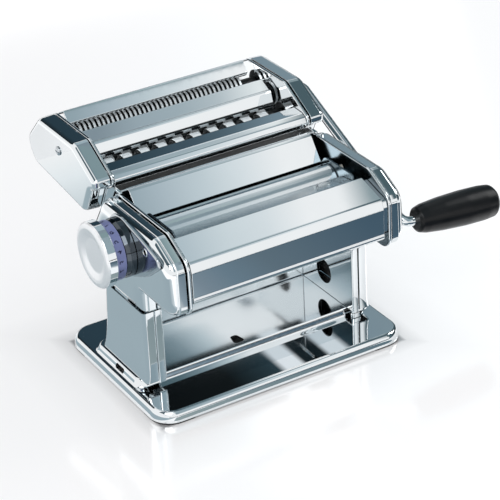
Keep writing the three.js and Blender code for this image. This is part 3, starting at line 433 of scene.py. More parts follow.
def moulded(name, colour, rough, grain_mm, grain_um, metallic=0.0, lift=1.6):
    """Moulded, coated or rubber surface: grain of grain_um micrometres every grain_mm, with the
    colour a little lighter on the grain's tops."""
    material, tree = blank(name)
    at = put(tree, "ShaderNodeTexCoord").outputs["Object"]
    grain, broad = noise(tree, at, grain_mm, 3.0), noise(tree, at, 14, 2.0)
    rough_at = put(tree, "ShaderNodeMapRange", {"To Min": rough * 0.85, "To Max": rough * 1.15},
                   {"Value": broad.outputs["Fac"]})
    return surfaced(material, tree, (colour, [min(c * lift, 1) for c in colour]),
                    grain.outputs["Fac"], rough_at.outputs[0], grain.outputs["Fac"], grain_um,
                    {"Metallic": metallic, "Specular IOR Level": 0.3})


# Each finish: its maker, its material's name, its colour in the settings, the maker's figures.
FINISHES = {
    # Mirror-polished stainless sheet: near-mirror, with the slight waves of a pressing.
    "polished_steel": (polished_metal, "mirror_polished_stainless", "steel", 0.02, 0.05, 60, 3),
    # Polished tray: the same sheet, deeper drawn, so its mirror waves a little more.
    "tray_steel": (polished_metal, "mirror_polished_tray", "steel", 0.02, 0.05, 70, 3),
    # Satin sheet of the stand's back: brushed, so that it blurs what stands before it.
    "satin_sheet": (polished_metal, "satin_stand_sheet", "steel", 0.13, 0.18, 60, 2,
                    (0.1, 1, 1)),
    # Painted shade: near-black, all but dull steel in the cut grooves, the sheets' insides and
    # under the bar.
    "painted_shade_steel": (moulded, "oil_blackened_steel", "groove", 0.45, 6, 0.4),
    # Ground and plated rollers: a soft sheen drawn out along the axis.
    "roller_steel": (polished_metal, "ground_plated_steel", "steel", 0.10, 0.17, 20, 3,
                     (0.06, 1, 1)),
    # Satin steel of rods, screw and cap: finely brushed.
    "satin_steel": (polished_metal, "satin_brushed_steel", "satin", 0.16, 0.26, 12, 4,
                    (0.1, 1, 1)),
    # Cutting discs: bright tumbled steel, which spreads the light a good deal.
    "disc_steel": (moulded, "tumbled_disc_steel", "steel", 0.3, 2, 0.4, 0.55, 1.02),
    # Plates' inner faces and the guides: brushed, and made a good deal darker than the polish by
    # painted shade.
    "inner_steel": (polished_metal, "brushed_inner_steel", "inner", 0.16, 0.24, 14, 3,
                    (1, 0.1, 0.1)),
    # Machined gear steel: duller and darker, cut marks in its faces.
    "gear_steel": (polished_metal, "machined_gear_steel", "gear", 0.3, 0.42, 1.2, 8),
    # Chromed knob and crank: a tight mirror that waves over short lengths.
    "knob_chrome": (polished_metal, "chromed_knob", "steel", 0.04, 0.07, 30, 2),
    # Sleeve behind the ring: black chrome, which mirrors the room dimly.
    "sleeve": (polished_metal, "black_chrome_sleeve", "sleeve", 0.05, 0.1, 30, 2),
    # Bell plate: brushed, darker than the cover it lies on.
    "bell_plate": (polished_metal, "brushed_grey_plate", "satin", 0.1, 0.16, 20, 2,
                   (1, 0.1, 0.1)),
    # Knob face: satin nickel lacquer, which spreads the light into a soft white.
    "knob_face": (moulded, "satin_nickel_face", "face", 0.3, 6, 0.3, 0.45, 1.02),
    # Grip: black plastic with a fine grain, which gives soft highlights.
    "grip_plastic": (moulded, "satin_black_grip_plastic", "grip", 0.3, 0.5, 10),
    # Feet: dull black rubber.
    "rubber": (moulded, "black_foot_rubber", "rubber", 0.7, 0.6, 30),
    # Number ring: anodised lavender, with a metal's depth under its colour.
    "ring": (moulded, "lavender_anodised_ring", "ring", 0.3, 0.4, 4, 0.35, 1.1),
    # Digits: flat dark ink.
    "ink": (moulded, "dial_ink", "ink", 0.45, 0.4, 4),
    # Blocks and bushes: creamy, slightly waxy nylon.
    "nylon": (moulded, "natural_nylon", "nylon", 0.45, 0.8, 10, 0.0, 1.05),
}
MADE = {}


def finish(name):
    """The named finish, made the first time it is asked for."""
    if name not in MADE:
        maker, title, colour, *figures = FINISHES[name]
        MADE[name] = maker(title, getattr(bpy.context.scene.roller_finishes, colour), *figures)
    return MADE[name]


# ---- shared sizes, millimetres ----
SHEET = 1.2                             # thickness of pressed sheet: tray, stand and covers
FOOT_SHOW, FOOT_REACH = 1.5, 29.0       # how far the feet lift the tray, and reach in from it
BASE_X, BASE_Y, BASE_R = 103.2, 73.0, 17.0      # the tray's half sizes and corners in plan
FLOOR_Z, PLAT_Z, PLAT_X = 9.5, 15.3, 95.6       # its floor; its platform's top and half width
STAND_FRONT, STAND_TOP = -38.0, 72.2
WALL_X, FOLD_X, SHELL_X = 78.3, 84.6, 92.9      # stand: wall's inside, seam, shell's outside
FRAME_IN, FRAME_T = 79.0, 2.4           # side plate's inner face and thickness
COVER_IN, COVER_BEAD, COVER_OUT = 82.4, 87.6, 95.0      # cover's open edge, bead, outer face
TOP_Z, LOW_FRONT_Z, LOW_REAR_Z, FRONT_Y = 141.1, 88.8, 72.5, -86.0     # the body's outline
BODY = [[FRONT_Y, LOW_FRONT_Z, 10], [-38.4, LOW_FRONT_Z, 1], [-38.4, LOW_REAR_Z, 1.5],
        [25, LOW_REAR_Z, 8], [30.5, 115, 9], [12.5, TOP_Z, 7], [-60.5, TOP_Z, 11],
        [-84.8, 128.3, 11]]
FRAME = [[FRONT_Y - 0.6, LOW_FRONT_Z - 0.5, 10], [-38.4, LOW_FRONT_Z - 0.5, 1],
         [-38.4, LOW_REAR_Z, 1.5], [25, LOW_REAR_Z, 8], [30.5, 115, 9], [12, TOP_Z + 1.7, 7],
         [-61.2, TOP_Z + 1.7, 11], [FRONT_Y - 0.6, 129.4, 11]]
CUTTER = [[17, 145.2, 4], [26, 141.5, 5], [38, 119.5, 5], [117, 128.5, 12],
          [127, 146, 9], [103, 169.6, 10], [48, 169.6, 11], [17, 152.3, 4]]
BETWEEN, PANEL_HALF, THROAT_HALF = 78.7, 74.5, 75.4     # half widths of sheets between the sides
ROLL_R, ROLL_PITCH, ROLL_TILT = 12.0, 24.6, math.radians(36)   # the smooth pair
CUT_R, CUT_PITCH, CUT_LEN = 9.0, 18.4, 71.0     # cutting pairs; half length of their discs
SHAFT_R, HUB_R = 4.0, 5.6               # rollers' journals, and hubs that take the crank
KNOB_OUT, KNOB_R = 121.0, 23.6          # the knob's face and radius
ARM_X, GRIP_AT, GRIP_DROOP = 116.5, (116.5, -50.1, 82.8), math.radians(4)
GRIP_START, GRIP_LEN = 10.2, 70.5       # along the grip's axis from GRIP_AT


def stepped(axis, pitch, tilt):
    """The axis (y, z) that lies a pitch behind another along a line that falls by a tilt."""
    return (axis[0] + pitch * math.cos(tilt), axis[1] - pitch * math.sin(tilt))


FRONT_ROLL, FINE_REAR, WIDE_REAR = (-24.3, 121.6), (103.1, 148.4), (67.0, 135.4)
REAR_ROLL = stepped(FRONT_ROLL, ROLL_PITCH, ROLL_TILT)
FINE_FRONT = stepped(FINE_REAR, -CUT_PITCH, math.radians(-13.2))
WIDE_FRONT = stepped(WIDE_REAR, -CUT_PITCH, math.radians(14.5))


def length(name, about, size, low, high):
    """A length that a user may change, given in millimetres."""
    return FloatProperty(name=name, description=about, default=size * MM, min=low * MM,
                         max=high * MM, unit="LENGTH")


def colour(name, about, code):
    """A colour that a user may change."""
    return FloatVectorProperty(name=name, description=about, subtype="COLOR", size=3,
                               default=linear(code))


class RollerSizes(bpy.types.PropertyGroup):
    """Sizes that a user may change."""
    sheet: length("Sheet thickness", "Thickness of the bent panels", 1.2, 0.6, 2)
    rim: length("Rim rounding", "Rounding of the side plates' edges", 0.9, 0.2, 1.1)
    dish: length("Knob dish", "Depth of the hollow in the knob's face", 2.2, 0.5, 2.6)
    digit: length("Digit height", "Height of the digits on the ring", 4.2, 2, 5)
    fine_discs: IntProperty(name="Fine discs", description="Discs on each fine cutting roller",
                            default=38, min=20, max=50)
    wide_discs: IntProperty(name="Wide discs", description="Discs on each wide cutting roller",
                            default=10, min=6, max=16)


class RollerFinishes(bpy.types.PropertyGroup):
    """Colours of the metals and plastics."""
    steel: colour("Polished steel", "Mirror-polished stainless", "EEF2F4")
    satin: colour("Satin steel", "Brushed rods, screw and bell plate", "C6CCD0")
    gear: colour("Gear steel", "Machined gears", "8A8F93")
    # The inner faces' grey is a real brushed finish, partly painted shade inside the machine.
    inner: colour("Inner faces", "Brushed faces inside the plates", "727F86")
    sleeve: colour("Knob sleeve", "Black chrome behind the ring", "565C62")
    # Near-black painted shade for the cut grooves, the sheets' insides and the bar's underside.
    groove: colour("Grooves", "Oiled steel in the cut grooves", "111517")
    face: colour("Knob face", "Satin nickel of the knob's face", "F0F2F4")
    grip: colour("Grip", "Black grip plastic", "0C0D0F")
    rubber: colour("Rubber", "Black rubber of the feet", "1A1A1B")
    ring: colour("Number ring", "Lavender anodised band", "777EA8")
    ink: colour("Digits", "Ink of the digits on the ring", "0E1030")
    nylon: colour("Nylon", "Bearing blocks and bushes", "E4E2DA")


class RollerStudio(bpy.types.PropertyGroup):
    """Strengths of the studio's lamps and panels."""
    key: FloatProperty(name="Key lamp", description="Power of the lamp at the front left",
                       default=9.0, min=0, max=100, unit="POWER")
    fill: FloatProperty(name="Fill lamp", description="Power of the lamp at the right",
                        default=6.0, min=0, max=100, unit="POWER")
    sky: FloatProperty(name="Surround", description="Strength of the even light from all round",
                       default=0.8, min=0, max=3)


class PieceOperator:
    """What the building operators share."""
    bl_options = {"REGISTER", "UNDO"}

    def execute(self, context):
        self.build(context)
        return {"FINISHED"}


# ---- base and stand ----
def plan(half_x, y0, y1, radius, inset=0.0):
    """A rectangle in plan with round corners."""
    return outline([[half_x, y0, radius], [half_x, y1, radius], [-half_x, y1, radius],
                    [-half_x, y0, radius]], inset, 10)


def tray_skin(depth):
    """Rings from the skirt's foot over its shoulder, across the floor and up the platform's
    slope, which rises by t^2 (3 - 2 t), at a depth into the sheet from its outer face."""
    skirt = [(FOOT_SHOW, 0.0), (2.9, 0.05), (4.9, 0.35), (6.3, 0.75), (7.4, 1.2), (8.3, 1.8),
             (8.9, 2.4), (9.3, 3.1), (9.46, 3.6), (9.5, 4.1)]
    rings = [ring_z(plan(BASE_X, -BASE_Y, BASE_Y, BASE_R, inset + depth),
                    max(z - depth, FOOT_SHOW)) for z, inset in skirt]
    for t in np.linspace(0, 1, 11):
        grow = 3.5 - 4.0 * t
        rings.append(ring_z(plan(PLAT_X + grow - depth, -29.7 - grow * 0.6 + depth,
                                 35.7 + grow * 0.6 - depth, 7),
                            FLOOR_Z - depth + (PLAT_Z - FLOOR_Z) * (t * t * (3 - 2 * t))))
    return rings


class BuildBase(PieceOperator, bpy.types.Operator):
    """Builds the pressed tray with its platform, clamp keyhole and side slot"""
    bl_idname = "roller.build_base"
    bl_label = "Base tray"

    def build(self, context):
        skin = tray_skin(SHEET)[::-1] + tray_skin(0.0)
        keyhole = outline([[-15.8, -25.8, 2.7], [-6.2, -25.8, 2.7], [-8.3, -15.2, 2.4],
                           [-13.7, -15.2, 2.4]], 0, 8)
        slot = outline(oblong(-2, 12.25, 6, 1.65, 1.2), 0, 6)
        piece("pressed_tray", [loft(skin)], "machine", ["base_tray"], "tray_steel",
              holes=[loft([ring_z(keyhole, 12), ring_z(keyhole, 18)]), prism(slot, -102, -93)])


def foot(sx, sy, inset, rows):
    """A corner pad from rows (z, inset more), FOOT_REACH long each way from the tray's edge."""
    x, y = sx * (BASE_X - inset), sy * (BASE_Y - inset)
    u, v = sx * (BASE_X - FOOT_REACH), sy * (BASE_Y - FOOT_REACH)
    corners = [[x, y, BASE_R - inset], [u, y, 3], [u, v, 3], [x, v, 3]]
    corners = corners[::-1] if sx * sy < 0 else corners
    return loft([ring_z(outline(corners, i, 8), z) for z, i in rows])


class BuildFeet(PieceOperator, bpy.types.Operator):
    """Builds the four rubber pads under the tray's corners"""
    bl_idname = "roller.build_feet"
    bl_label = "Rubber feet"

    def build(self, context):
        for sx, sy, name in ((-1, -1, "front_left"), (1, -1, "front_right"),
                             (-1, 1, "rear_left"), (1, 1, "rear_right")):
            pad = foot(sx, sy, 2.8, ((0.5, 0.12), (1.0, 0.0), (5.2, 0.0), (5.7, 0.4)))
            lip = foot(sx, sy, 0.4, ((0.0, 0.5), (0.15, 0.2), (0.4, 0.0), (1.0, 0.0),
                                     (1.2, 0.2)))
            piece("rubber_pad_" + name, [pad, lip], "machine", ["foot_" + name], "rubber")


def stand_shell():
    """The stand's outer shell: a sheet folded round three sides, in rings from the foot up, whose
    rear edge runs back and whose face flares out towards the foot."""
    rows = [(PLAT_Z + 0.3, 31.0, 1.2), (17.2, 30.6, 0.9), (19.0, 30.0, 0.5), (21.5, 29.3, 0.2),
            (24.0, 28.6, 0.0), (32.0, 26.2, 0.0), (40.0, 24.0, 0.0), (56.0, 22.0, 0.0),
            (STAND_TOP, 20.0, 0.0)]
    near, front, half = FOLD_X + 0.4, STAND_FRONT + SHEET / 2, SHEET / 2
    return loft([ring_z(sheet_section([[near, front, 0], [SHELL_X + flare - half, front, 2.4],
                                       [SHELL_X + flare - half, rear - half, 4.4],
                                       [near, rear - half, 0]], SHEET, 7), z)
                 for z, rear, flare in rows])


class BuildStand(PieceOperator, bpy.types.Operator):
    """Builds the stand: back panel, walls with their round holes and flanges, outer shells"""
    bl_idname = "roller.build_stand"
    bl_label = "Stand"

    def build(self, context):
        back = sheet_metal([[33.2, 16.2, 0], [30.6, 16.2, 1.4], [30.6, STAND_TOP, 0]], SHEET,
                           -WALL_X + 0.3, WALL_X - 0.3)
        piece("stand_back", [back], "machine", ["stand_back_panel"], "satin_sheet")
        wall = slab([[STAND_FRONT, PLAT_Z + 0.3, 0.4], [32, PLAT_Z + 0.3, 0.4],
                     [32, STAND_TOP, 0.4], [STAND_FRONT, STAND_TOP, 0.4]], WALL_X,
                    WALL_X + SHEET)
        bore = prism(circle(0, 33, 9.8), WALL_X - 4, WALL_X + 5)
        flange = loft([ring_z(outline([[WALL_X, STAND_FRONT, 1.4], [FOLD_X - 0.5, STAND_FRONT, 1.0],
                                       [FOLD_X - 0.5, STAND_FRONT + 1.6, 0.3],
                                       [WALL_X, STAND_FRONT + 1.6, 0.3]], 0, 6), z)
                       for z in (PLAT_Z - 1.5, STAND_TOP)])
        shoe = loft([ring_z(outline([[WALL_X - 0.1, STAND_FRONT - 0.6, 1.4],
                                     [FOLD_X + g, STAND_FRONT - 0.6, 1.2],
                                     [FOLD_X + g, STAND_FRONT + 2.4, 0.4],
                                     [WALL_X - 0.1, STAND_FRONT + 2.4, 0.4]], i, 6), z)
                     for z, i, g in ((FLOOR_Z + 0.3, 0.3, 1.2), (FLOOR_Z + 0.6, 0, 1.0),
                                     (13.0, 0, 0.3), (13.5, 0.3, 0.0))])
        for side in ("left", "right"):
            piece("stand_wall_" + side + "_sheet", on_side(side, [wall, flange, shoe]), "machine",
                  ["stand_wall_" + side], holes=on_side(side, [bore]))
            obj = piece("stand_shell_" + side + "_skin", on_side(side, [stand_shell()]),
                        "machine", ["stand_shell_" + side])
            if side == "right":
                # Its inside shows past the wall's edge; painted shade darkens it there.
                coat(obj, "painted_shade_steel", lambda at, out: out[0] < -0.3)


# ---- body ----
def block_window():
    """The window that the front roller's sliding block runs in: a rectangle squared to the line
    through both smooth rollers, from the front one's axis."""
    c, s = math.cos(ROLL_TILT), math.sin(ROLL_TILT)
    turn = np.array([[c, -s], [s, c]])
    return outline(oblong(-1.2, 0, 8.9, 7.7, 1), 0, 4) @ turn + np.array(FRONT_ROLL)


def deep_cover(corners, rows):
    """A drawn cover: rings x, inset over the outline from the open edge to its outer face, and
    back down inside at the sheet's thickness; corners of more than 6 mm grow rounder on the way.
    The last inside ring is inset no more than the face's, so that short sides never cross."""
    def ring(inset):
        return outline([[y, z, r + 1.2 * inset if r > 6 else r] for y, z, r in corners],
                       inset, 14)

    outer = [ring_x(ring(inset), x) for x, inset in rows]
    floor = rows[-1][0] - SHEET
    inside = [ring_x(ring(inset + SHEET), x) for x, inset in rows if x < floor - 0.05]
    inside.append(ring_x(ring(rows[-1][1]), floor))
    return loft(inside[::-1] + outer)


def quarter(x0, inset0, x1, inset1, steps):
    """Rows (x, inset) on a quarter ellipse from a side wall round to an end face."""
    t = np.linspace(0, math.pi / 2, steps + 1)
    return np.stack([x0 + (x1 - x0) * np.sin(t), inset0 + (inset1 - inset0) * (1 - np.cos(t))],
                    1).tolist()


class BuildBodySides(PieceOperator, bpy.types.Operator):
    """Builds the body's side plates and the deep covers outside them"""
    bl_idname = "roller.build_body_sides"
    bl_label = "Body sides"

    def build(self, context):
        rim = context.scene.roller_sizes.rim / MM
        plate = slab(FRAME, FRAME_IN, FRAME_IN + FRAME_T, rim, 10)
        tools = [prism(ring, FRAME_IN - 1, FRAME_IN + 4)
                 for ring in (block_window(), circle(*REAR_ROLL, 6.3))]
        rows = [(COVER_IN, 0.35), (COVER_IN + 0.15, 0.1), (COVER_IN + 0.5, 0.0),
                (COVER_BEAD, 0.05), (COVER_BEAD + 0.2, 0.35), (COVER_BEAD + 0.5, 0.62),
                (COVER_BEAD + 0.9, 0.72)]
        rows += quarter(COVER_OUT - 6.6, 0.9, COVER_OUT, 9.6, 12) + [(COVER_OUT, 10.0)]
        cover = deep_cover(BODY, rows)
        for side in ("left", "right"):
            obj = piece("side_plate_" + side, on_side(side, [plate]), "machine",
                        ["side_frame_" + side], holes=on_side(side, tools))
            # Painted shade: each plate's inner face gets the darker inner steel.
            coat(obj, "inner_steel", lambda at, out: out[0] * np.sign(at[0]) < -0.9)
        for side, bore in (("right", circle(*REAR_ROLL, 8.5)), ("left", circle(*FRONT_ROLL, 6))):
            piece("deep_cover_" + side, on_side(side, [cover]), "machine", ["side_cover_" + side],
                  holes=on_side(side, [prism(bore, COVER_OUT - 4, COVER_OUT + 1)]))


class BuildBodyPanels(PieceOperator, bpy.types.Operator):
    """Builds the sheets between the sides: front face, inner guard, feed slope and back"""
    bl_idname = "roller.build_body_panels"
    bl_label = "Body panels"

    def build(self, context):
        t = context.scene.roller_sizes.sheet / MM
        front = [[-57.2, 132.6, 0], [-58.3, 135.3, 1.2], [-60.2, 135.9, 1.6], [-84.3, 129.1, 2.2],
                 [-86.7, 122.4, 3.0], [-86.7, 103.9, 2.5], [-87.3, 101.6, 1.6],
                 [-86.4, 99.5, 1.5], [-80, 99.6, 0]]
        face = sheet_metal(front, t, -BETWEEN, PANEL_HALF)
        tongue = sheet_metal([[-60.6, 133.6, 0], [-83.4, 127.2, 2], [-84.9, 122.6, 2],
                              [-84.9, 104.4, 0]], 1.0, -BETWEEN, BETWEEN)
        piece("front_face_panel", [face, tongue], "machine", ["front_panel"])
        guard = sheet_metal([[-38.6, 129.6, 0], [-40, 130.3, 0.6], [-55.4, 132.3, 0.8],
                             [-56.2, 131, 0.6], [-52, 112, 0]], 1.0, -70.9, 70.9)
        piece("front_inner_guard", [guard], "machine", ["front_guard"], "roller_steel")
        slope = sheet_metal([[-6.8, 128, 0], [5, 143.8, 1.2], [6.6, 144.6, 1.0], [9.6, 144.2, 0]],
                            1.0, -PANEL_HALF, PANEL_HALF)
        back = sheet_metal([[8.2, 144.3, 0], [9.4, 144.1, 0.8], [10.4, 143, 1.2],
                            [28, 115.4, 3.5], [28.2, 112.6, 3.0], [23, 75, 0]], 1.0,
                           -BETWEEN, BETWEEN)
        obj = piece("feed_slope_and_back", [slope, back], "machine", ["rear_panel"])
        # Painted shade under the slope, and inside the back.
        coat(obj, "painted_shade_steel", lambda at, out: np.where(
            at[1] < 8, out[2] < -0.2, (out[1] < -0.3) & (at[2] < 143)))


def square_socket(at):
    """The crank's square socket in a driven roller's right end, for cutting with."""
    return prism(outline(oblong(*at, 2.7, 2.7, 0.3), 0, 3), 86, 96)


class BuildSmoothRollers(PieceOperator, bpy.types.Operator):
    """Builds the two smooth rollers and the guides at their ends"""
    bl_idname = "roller.build_smooth_rollers"
    bl_label = "Smooth rollers"

    def build(self, context):
        face = 70.9
        body = [[-81.5, 0.4], [-81.5, SHAFT_R], [-face, SHAFT_R], [-face, ROLL_R, 0.7],
                [face, ROLL_R, 0.7], [face, SHAFT_R]]
        front = turned(body + [[89.9, SHAFT_R], [89.9, 0.4]], *FRONT_ROLL, 96)
        rear = turned(body + [[89.9, SHAFT_R], [89.9, HUB_R], [94, HUB_R], [94, 0.4]],
                      *REAR_ROLL, 96)
        piece("smooth_roller_front", [front], "front_roller", ["roller_front"], "roller_steel")
        piece("smooth_roller_rear", [rear], "rear_roller", ["roller_rear"], "roller_steel",
              holes=[square_socket(REAR_ROLL)])
        guide = slab([[-54, 104, 3], [-10, 101.6, 3], [14, 101.6, 3], [14, 113, 3],
                      [-9, 125.6, 3], [-17, 136.7, 5], [-54, 136.7, 4]], 71.2, 72.7, 0.4, 8)
        tabs = [slab(oblong(y, z, 2, 3, 0.5), 72.5, BETWEEN, 0.1)
                for y, z in ((-49, 125), (10.5, 107))]
        # A round-ended slot along which the front roller's journal backs off.
        start, travel = np.array(FRONT_ROLL), np.array((-2.1, 1.6))
        along = 4.5 * travel / np.linalg.norm(travel)
        across = along[::-1] * (1, -1)
        slot = outline([[*(start - along - across), 4.4], [*(start - along + across), 4.4],
                        [*(start + travel + along + across), 4.4],
                        [*(start + travel + along - across), 4.4]], 0, 8)
        tools = [prism(ring, 70, 74) for ring in (slot, circle(*REAR_ROLL, 4.7))]
        # The guides get the darker inner steel, brushed and partly painted shade.
        for side in ("right", "left"):
            piece("dough_guide_" + side, on_side(side, [guide, *tabs]), "machine",
                  ["guide_" + side], "inner_steel", holes=on_side(side, tools))


# ---- knob ----
FIRST_DIGIT, DIGIT_STEP = 148, 20   # degrees round the knob's axis
PROUD = 0.05                        # how far the digits stand off their ring


def ring_digits(height, radius, x_mid):
    """Digits 0 to 9 laid round the ring: a flat glyph point (u, v) goes to angle u / radius round
    the axis from its digit's own, and to x_mid + v along it."""
    parts = []
    for k in range(10):
        text = bpy.data.curves.new("digit", "FONT")
        text.body = str(k)
        text.size = height * 1.35    # a digit is 1 / 1.35 of its font's size
        text.align_x, text.align_y = "CENTER", "CENTER"
        text.offset = 0.05           # a little bolder
        holder = put_in_scene("digit", text)
        flat = modified(holder)
        co = np.zeros(len(flat.vertices) * 3, np.float32)
        flat.vertices.foreach_get("co", co)
        co = co.reshape(-1, 3).astype(float)
        faces = [list(p.vertices) for p in flat.polygons]
        bpy.data.objects.remove(holder)
        bpy.data.meshes.remove(flat)
        angle = (math.radians(FIRST_DIGIT - DIGIT_STEP * k) - co[:, 0] / radius) + math.pi / 2
        out = radius + PROUD
        points = np.stack([x_mid + co[:, 1], FRONT_ROLL[0] + out * np.cos(angle),
                           FRONT_ROLL[1] + out * np.sin(angle)], 1)
        parts.append((points, faces))
    return parts


class BuildKnob(PieceOperator, bpy.types.Operator):
    """Builds the thickness knob, its number ring, the collar and the plate on the cover"""
    bl_idname = "roller.build_knob"
    bl_label = "Thickness knob"

    def build(self, context):
        y, z = FRONT_ROLL
        o = -KNOB_OUT
        sizes = context.scene.roller_sizes
        dish = sizes.dish / MM
        cap = turned([[o + dish, 0.3], [o + dish, 12.5, 5.0], [o + 0.5, 17.2, 2.2],
                      [o, 19.6, 2.2], [o + 0.6, 22.4, 1.6], [o + 2.2, KNOB_R, 1.2],
                      [o + 8.2, KNOB_R, 0.3], [o + 8.2, 0.3]], y, z, 128, 6)
        obj = piece("knob_dished_cap", [cap], "knob", ["knob_cap"], "knob_chrome")
        coat(obj, "knob_face", lambda at, out: out[0] < -0.4)
        band = turned([[-112.5, 4.1], [-112.5, 20.9, 0.4], [-104.9, 21.2, 0.4], [-104.9, 17.6],
                       [-111.1, 17.6], [-111.1, 4.1], [-112.5, 4.1]], y, z, 128)
        piece("number_band", [band], "knob", ["number_ring"], "ring")
        digits = put_in_scene("ring_digits", mesh_of(
            "ring_digits", ring_digits(sizes.digit / MM, 21.05, -108.7)))
        digits.data.materials.append(finish("ink"))
        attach(digits, "knob")
        collar = turned([[-104.3, 17.2], [-104.3, 20.2, 0.4], [-101.6, 21.3, 0.8],
                         [-97.4, 21.4, 0.2], [-97.4, 17.2, 0.2], [-104.3, 17.2, 0.1]],
                        y, z, 128)
        piece("knob_sleeve", [collar], "machine", ["knob_collar"], "sleeve")
        bell = [[-75.8, 126.8, 3], [-56, 111.6, 20], [-36, 103, 12], [-3, 98, 20],
                [-1, 148, 20], [-50, 138.8, 10], [-74.5, 133.2, 4]]
        rows = [(95.3, 0.0), (96.2, 0.0), (96.7, 0.25), (97.0, 0.7), (97.1, 1.3), (97.1, 1.8)]
        plate = mirrored(loft([ring_x(outline(bell, i, 12), x) for x, i in rows]))
        bores = [prism(circle(-57.5, 131.6, 2.1), 94, 99), prism(circle(y, z, 4.1), 94, 99)]
        piece("bell_plate", [plate], "machine", ["knob_plate"], "bell_plate",
              holes=on_side("left", bores))
        eye = turned([[95.4, 2.0], [97.3, 2.0, 0.1], [97.6, 2.6, 0.3], [97.2, 3.1, 0.2],
                      [95.4, 3.1], [95.4, 2.0]], -57.5, 131.6, 32)
        piece("bell_plate_eyelet", [mirrored(eye)], "machine", (), "knob_chrome")


# ---- cutter attachment ----
def disc_roller(at, discs, root, plain_end, sides, groove_first, driven):
    """A cutting roller: discs of full radius and grooves of the root radius by turns, so that a
    disc of one roller of a pair faces a groove of the other, with a plain journal up to plain_end
    and a hub beyond it on a driven one."""
    pitch = 2 * CUT_LEN / discs
    radii = (root, CUT_R) if groove_first else (CUT_R, root)
    profile = [[-81.8, 0.4], [-81.8, SHAFT_R], [-CUT_LEN, SHAFT_R]]
    edges = -CUT_LEN + np.arange(2 * discs) * pitch / 2
    for i, x in enumerate(edges):
        profile += [[x, radii[i % 2], 0.12], [x + pitch / 2, radii[i % 2], 0.12]]
    profile += [[CUT_LEN, SHAFT_R], [plain_end, SHAFT_R]]
    profile += [[plain_end, HUB_R], [94, HUB_R], [94, 0.4]] if driven else [[plain_end, 0.4]]
    return turned(profile, *at, sides, 1, 0.12)


class BuildCutterEnds(PieceOperator, bpy.types.Operator):
    """Builds the cutter attachment's end plates, covers, screw and hooks"""
    bl_idname = "roller.build_cutter_ends"
    bl_label = "Cutter ends"

    def build(self, context):
        rim = context.scene.roller_sizes.rim / MM
        plate = slab(CUTTER, FRAME_IN, FRAME_IN + FRAME_T, rim, 10)
        rows = [(COVER_IN, 0.3), (COVER_IN + 0.15, 0.08), (COVER_IN + 0.5, 0.0)]
        rows += quarter(COVER_OUT - 4.6, 0.35, COVER_OUT, 4.1, 10) + [(COVER_OUT, 4.4)]
        cover = deep_cover(CUTTER, rows)
        bores = [prism(circle(*at, 6.4), 91, 96) for at in (FINE_FRONT, WIDE_REAR)]
        for side in ("right", "left"):
            piece("cutter_plate_" + side, on_side(side, [plate]), "cutter",
                  ["cutter_frame_" + side])
        for side, holes in (("right", bores), ("left", ())):
            piece("cutter_end_cover_" + side, on_side(side, [cover]), "cutter",
                  ["cutter_cover_" + side], holes=holes)
        y, z = 71.0, 155.5
        head = turned([[-96.6, 0.3], [-96.6, 2.0, 0.5], [-95.9, 3.3, 0.6], [-95.2, 3.4, 0.1],
                       [-95.2, 0.3]], y, z, 40)
        slot = slab(oblong(y, z, 4, 0.45, 0.05), 95.9, 98, 0.02)
        piece("cover_screw_head", [head], "cutter", ["cutter_screw"], "satin_steel",
              holes=[mirrored(slot)])
        hook = slab([[32.2, 115.9, 0.8], [36.6, 119.4, 1], [25.6, 140.3, 1], [16.6, 144.8, 0.6],
                     [6.5, 144.8, 0.5], [6.5, 143.3, 0.3], [13.9, 143.3, 0.3]], FRAME_IN,
                    FRAME_IN + FRAME_T, 0.4, 4)
        for side in ("right", "left"):
            piece("rail_hook_" + side, on_side(side, [hook]), "cutter", ["hook_" + side])


class BuildCutterPlates(PieceOperator, bpy.types.Operator):
    """Builds the cutter attachment's rear plate, middle guide and rounded front bar"""
    bl_idname = "roller.build_cutter_plates"
    bl_label = "Cutter plates"

    def build(self, context):
        rear = sheet_metal([[95.8, 159.6, 0], [94.3, 162, 1], [99.6, 168.6, 0.8],
                            [100.6, 169.4, 0.7], [105, 166.4, 0]], 1.0, -THROAT_HALF, THROAT_HALF)
        rear_foot = sheet_metal([[101, 169, 0], [105, 166.4, 0]], 0.8, -BETWEEN, BETWEEN)
        piece("throat_plate_rear", [rear, rear_foot], "cutter", ["cutter_rear_plate"])
        middle = sheet_metal([[75.5, 160, 0], [74.9, 162.4, 0.9], [73.6, 163.2, 0.8],
                              [63.6, 158.4, 1.5], [61.6, 158.9, 0.9], [60.7, 157.6, 1.0],
                              [58, 149.4, 1.0], [58.4, 147.6, 0]], 1.0, -THROAT_HALF, THROAT_HALF)
        foot = sheet_metal([[75.5, 160.2, 0], [75.1, 162, 0]], 0.8, -BETWEEN, BETWEEN)
        piece("throat_plate_middle", [middle, foot], "cutter", ["cutter_middle_guide"])
        bar = sheet_metal([[35.8, 151.6, 0], [34.2, 154, 0.8], [23, 153.4, 3], [19.4, 151.8, 3],
                           [17.8, 148.4, 3], [18.6, 144.6, 2], [21.6, 142.8, 2],
                           [36.4, 128.4, 0]], 1.2, -BETWEEN, BETWEEN)
        obj = piece("rounded_front_bar", [bar], "cutter", ["cutter_front_bar"])
        # Painted shade on the bar's inside, behind and below a plane through its lips.
        coat(obj, "painted_shade_steel", lambda at, out: at[1] - at[2] > -121)
        for name, (y, z) in (("rear", (113, 133.8)), ("front", (33.5, 145.6))):
            rod = turned([[-83, 0.3], [-83, 2], [-BETWEEN, 2], [-BETWEEN, 3], [BETWEEN, 3],
                          [BETWEEN, 2], [83, 2], [83, 0.3]], y, z, 32)
            piece("spacer_rod_" + name, [rod], "cutter", ["cutter_tie_" + name], "satin_steel")


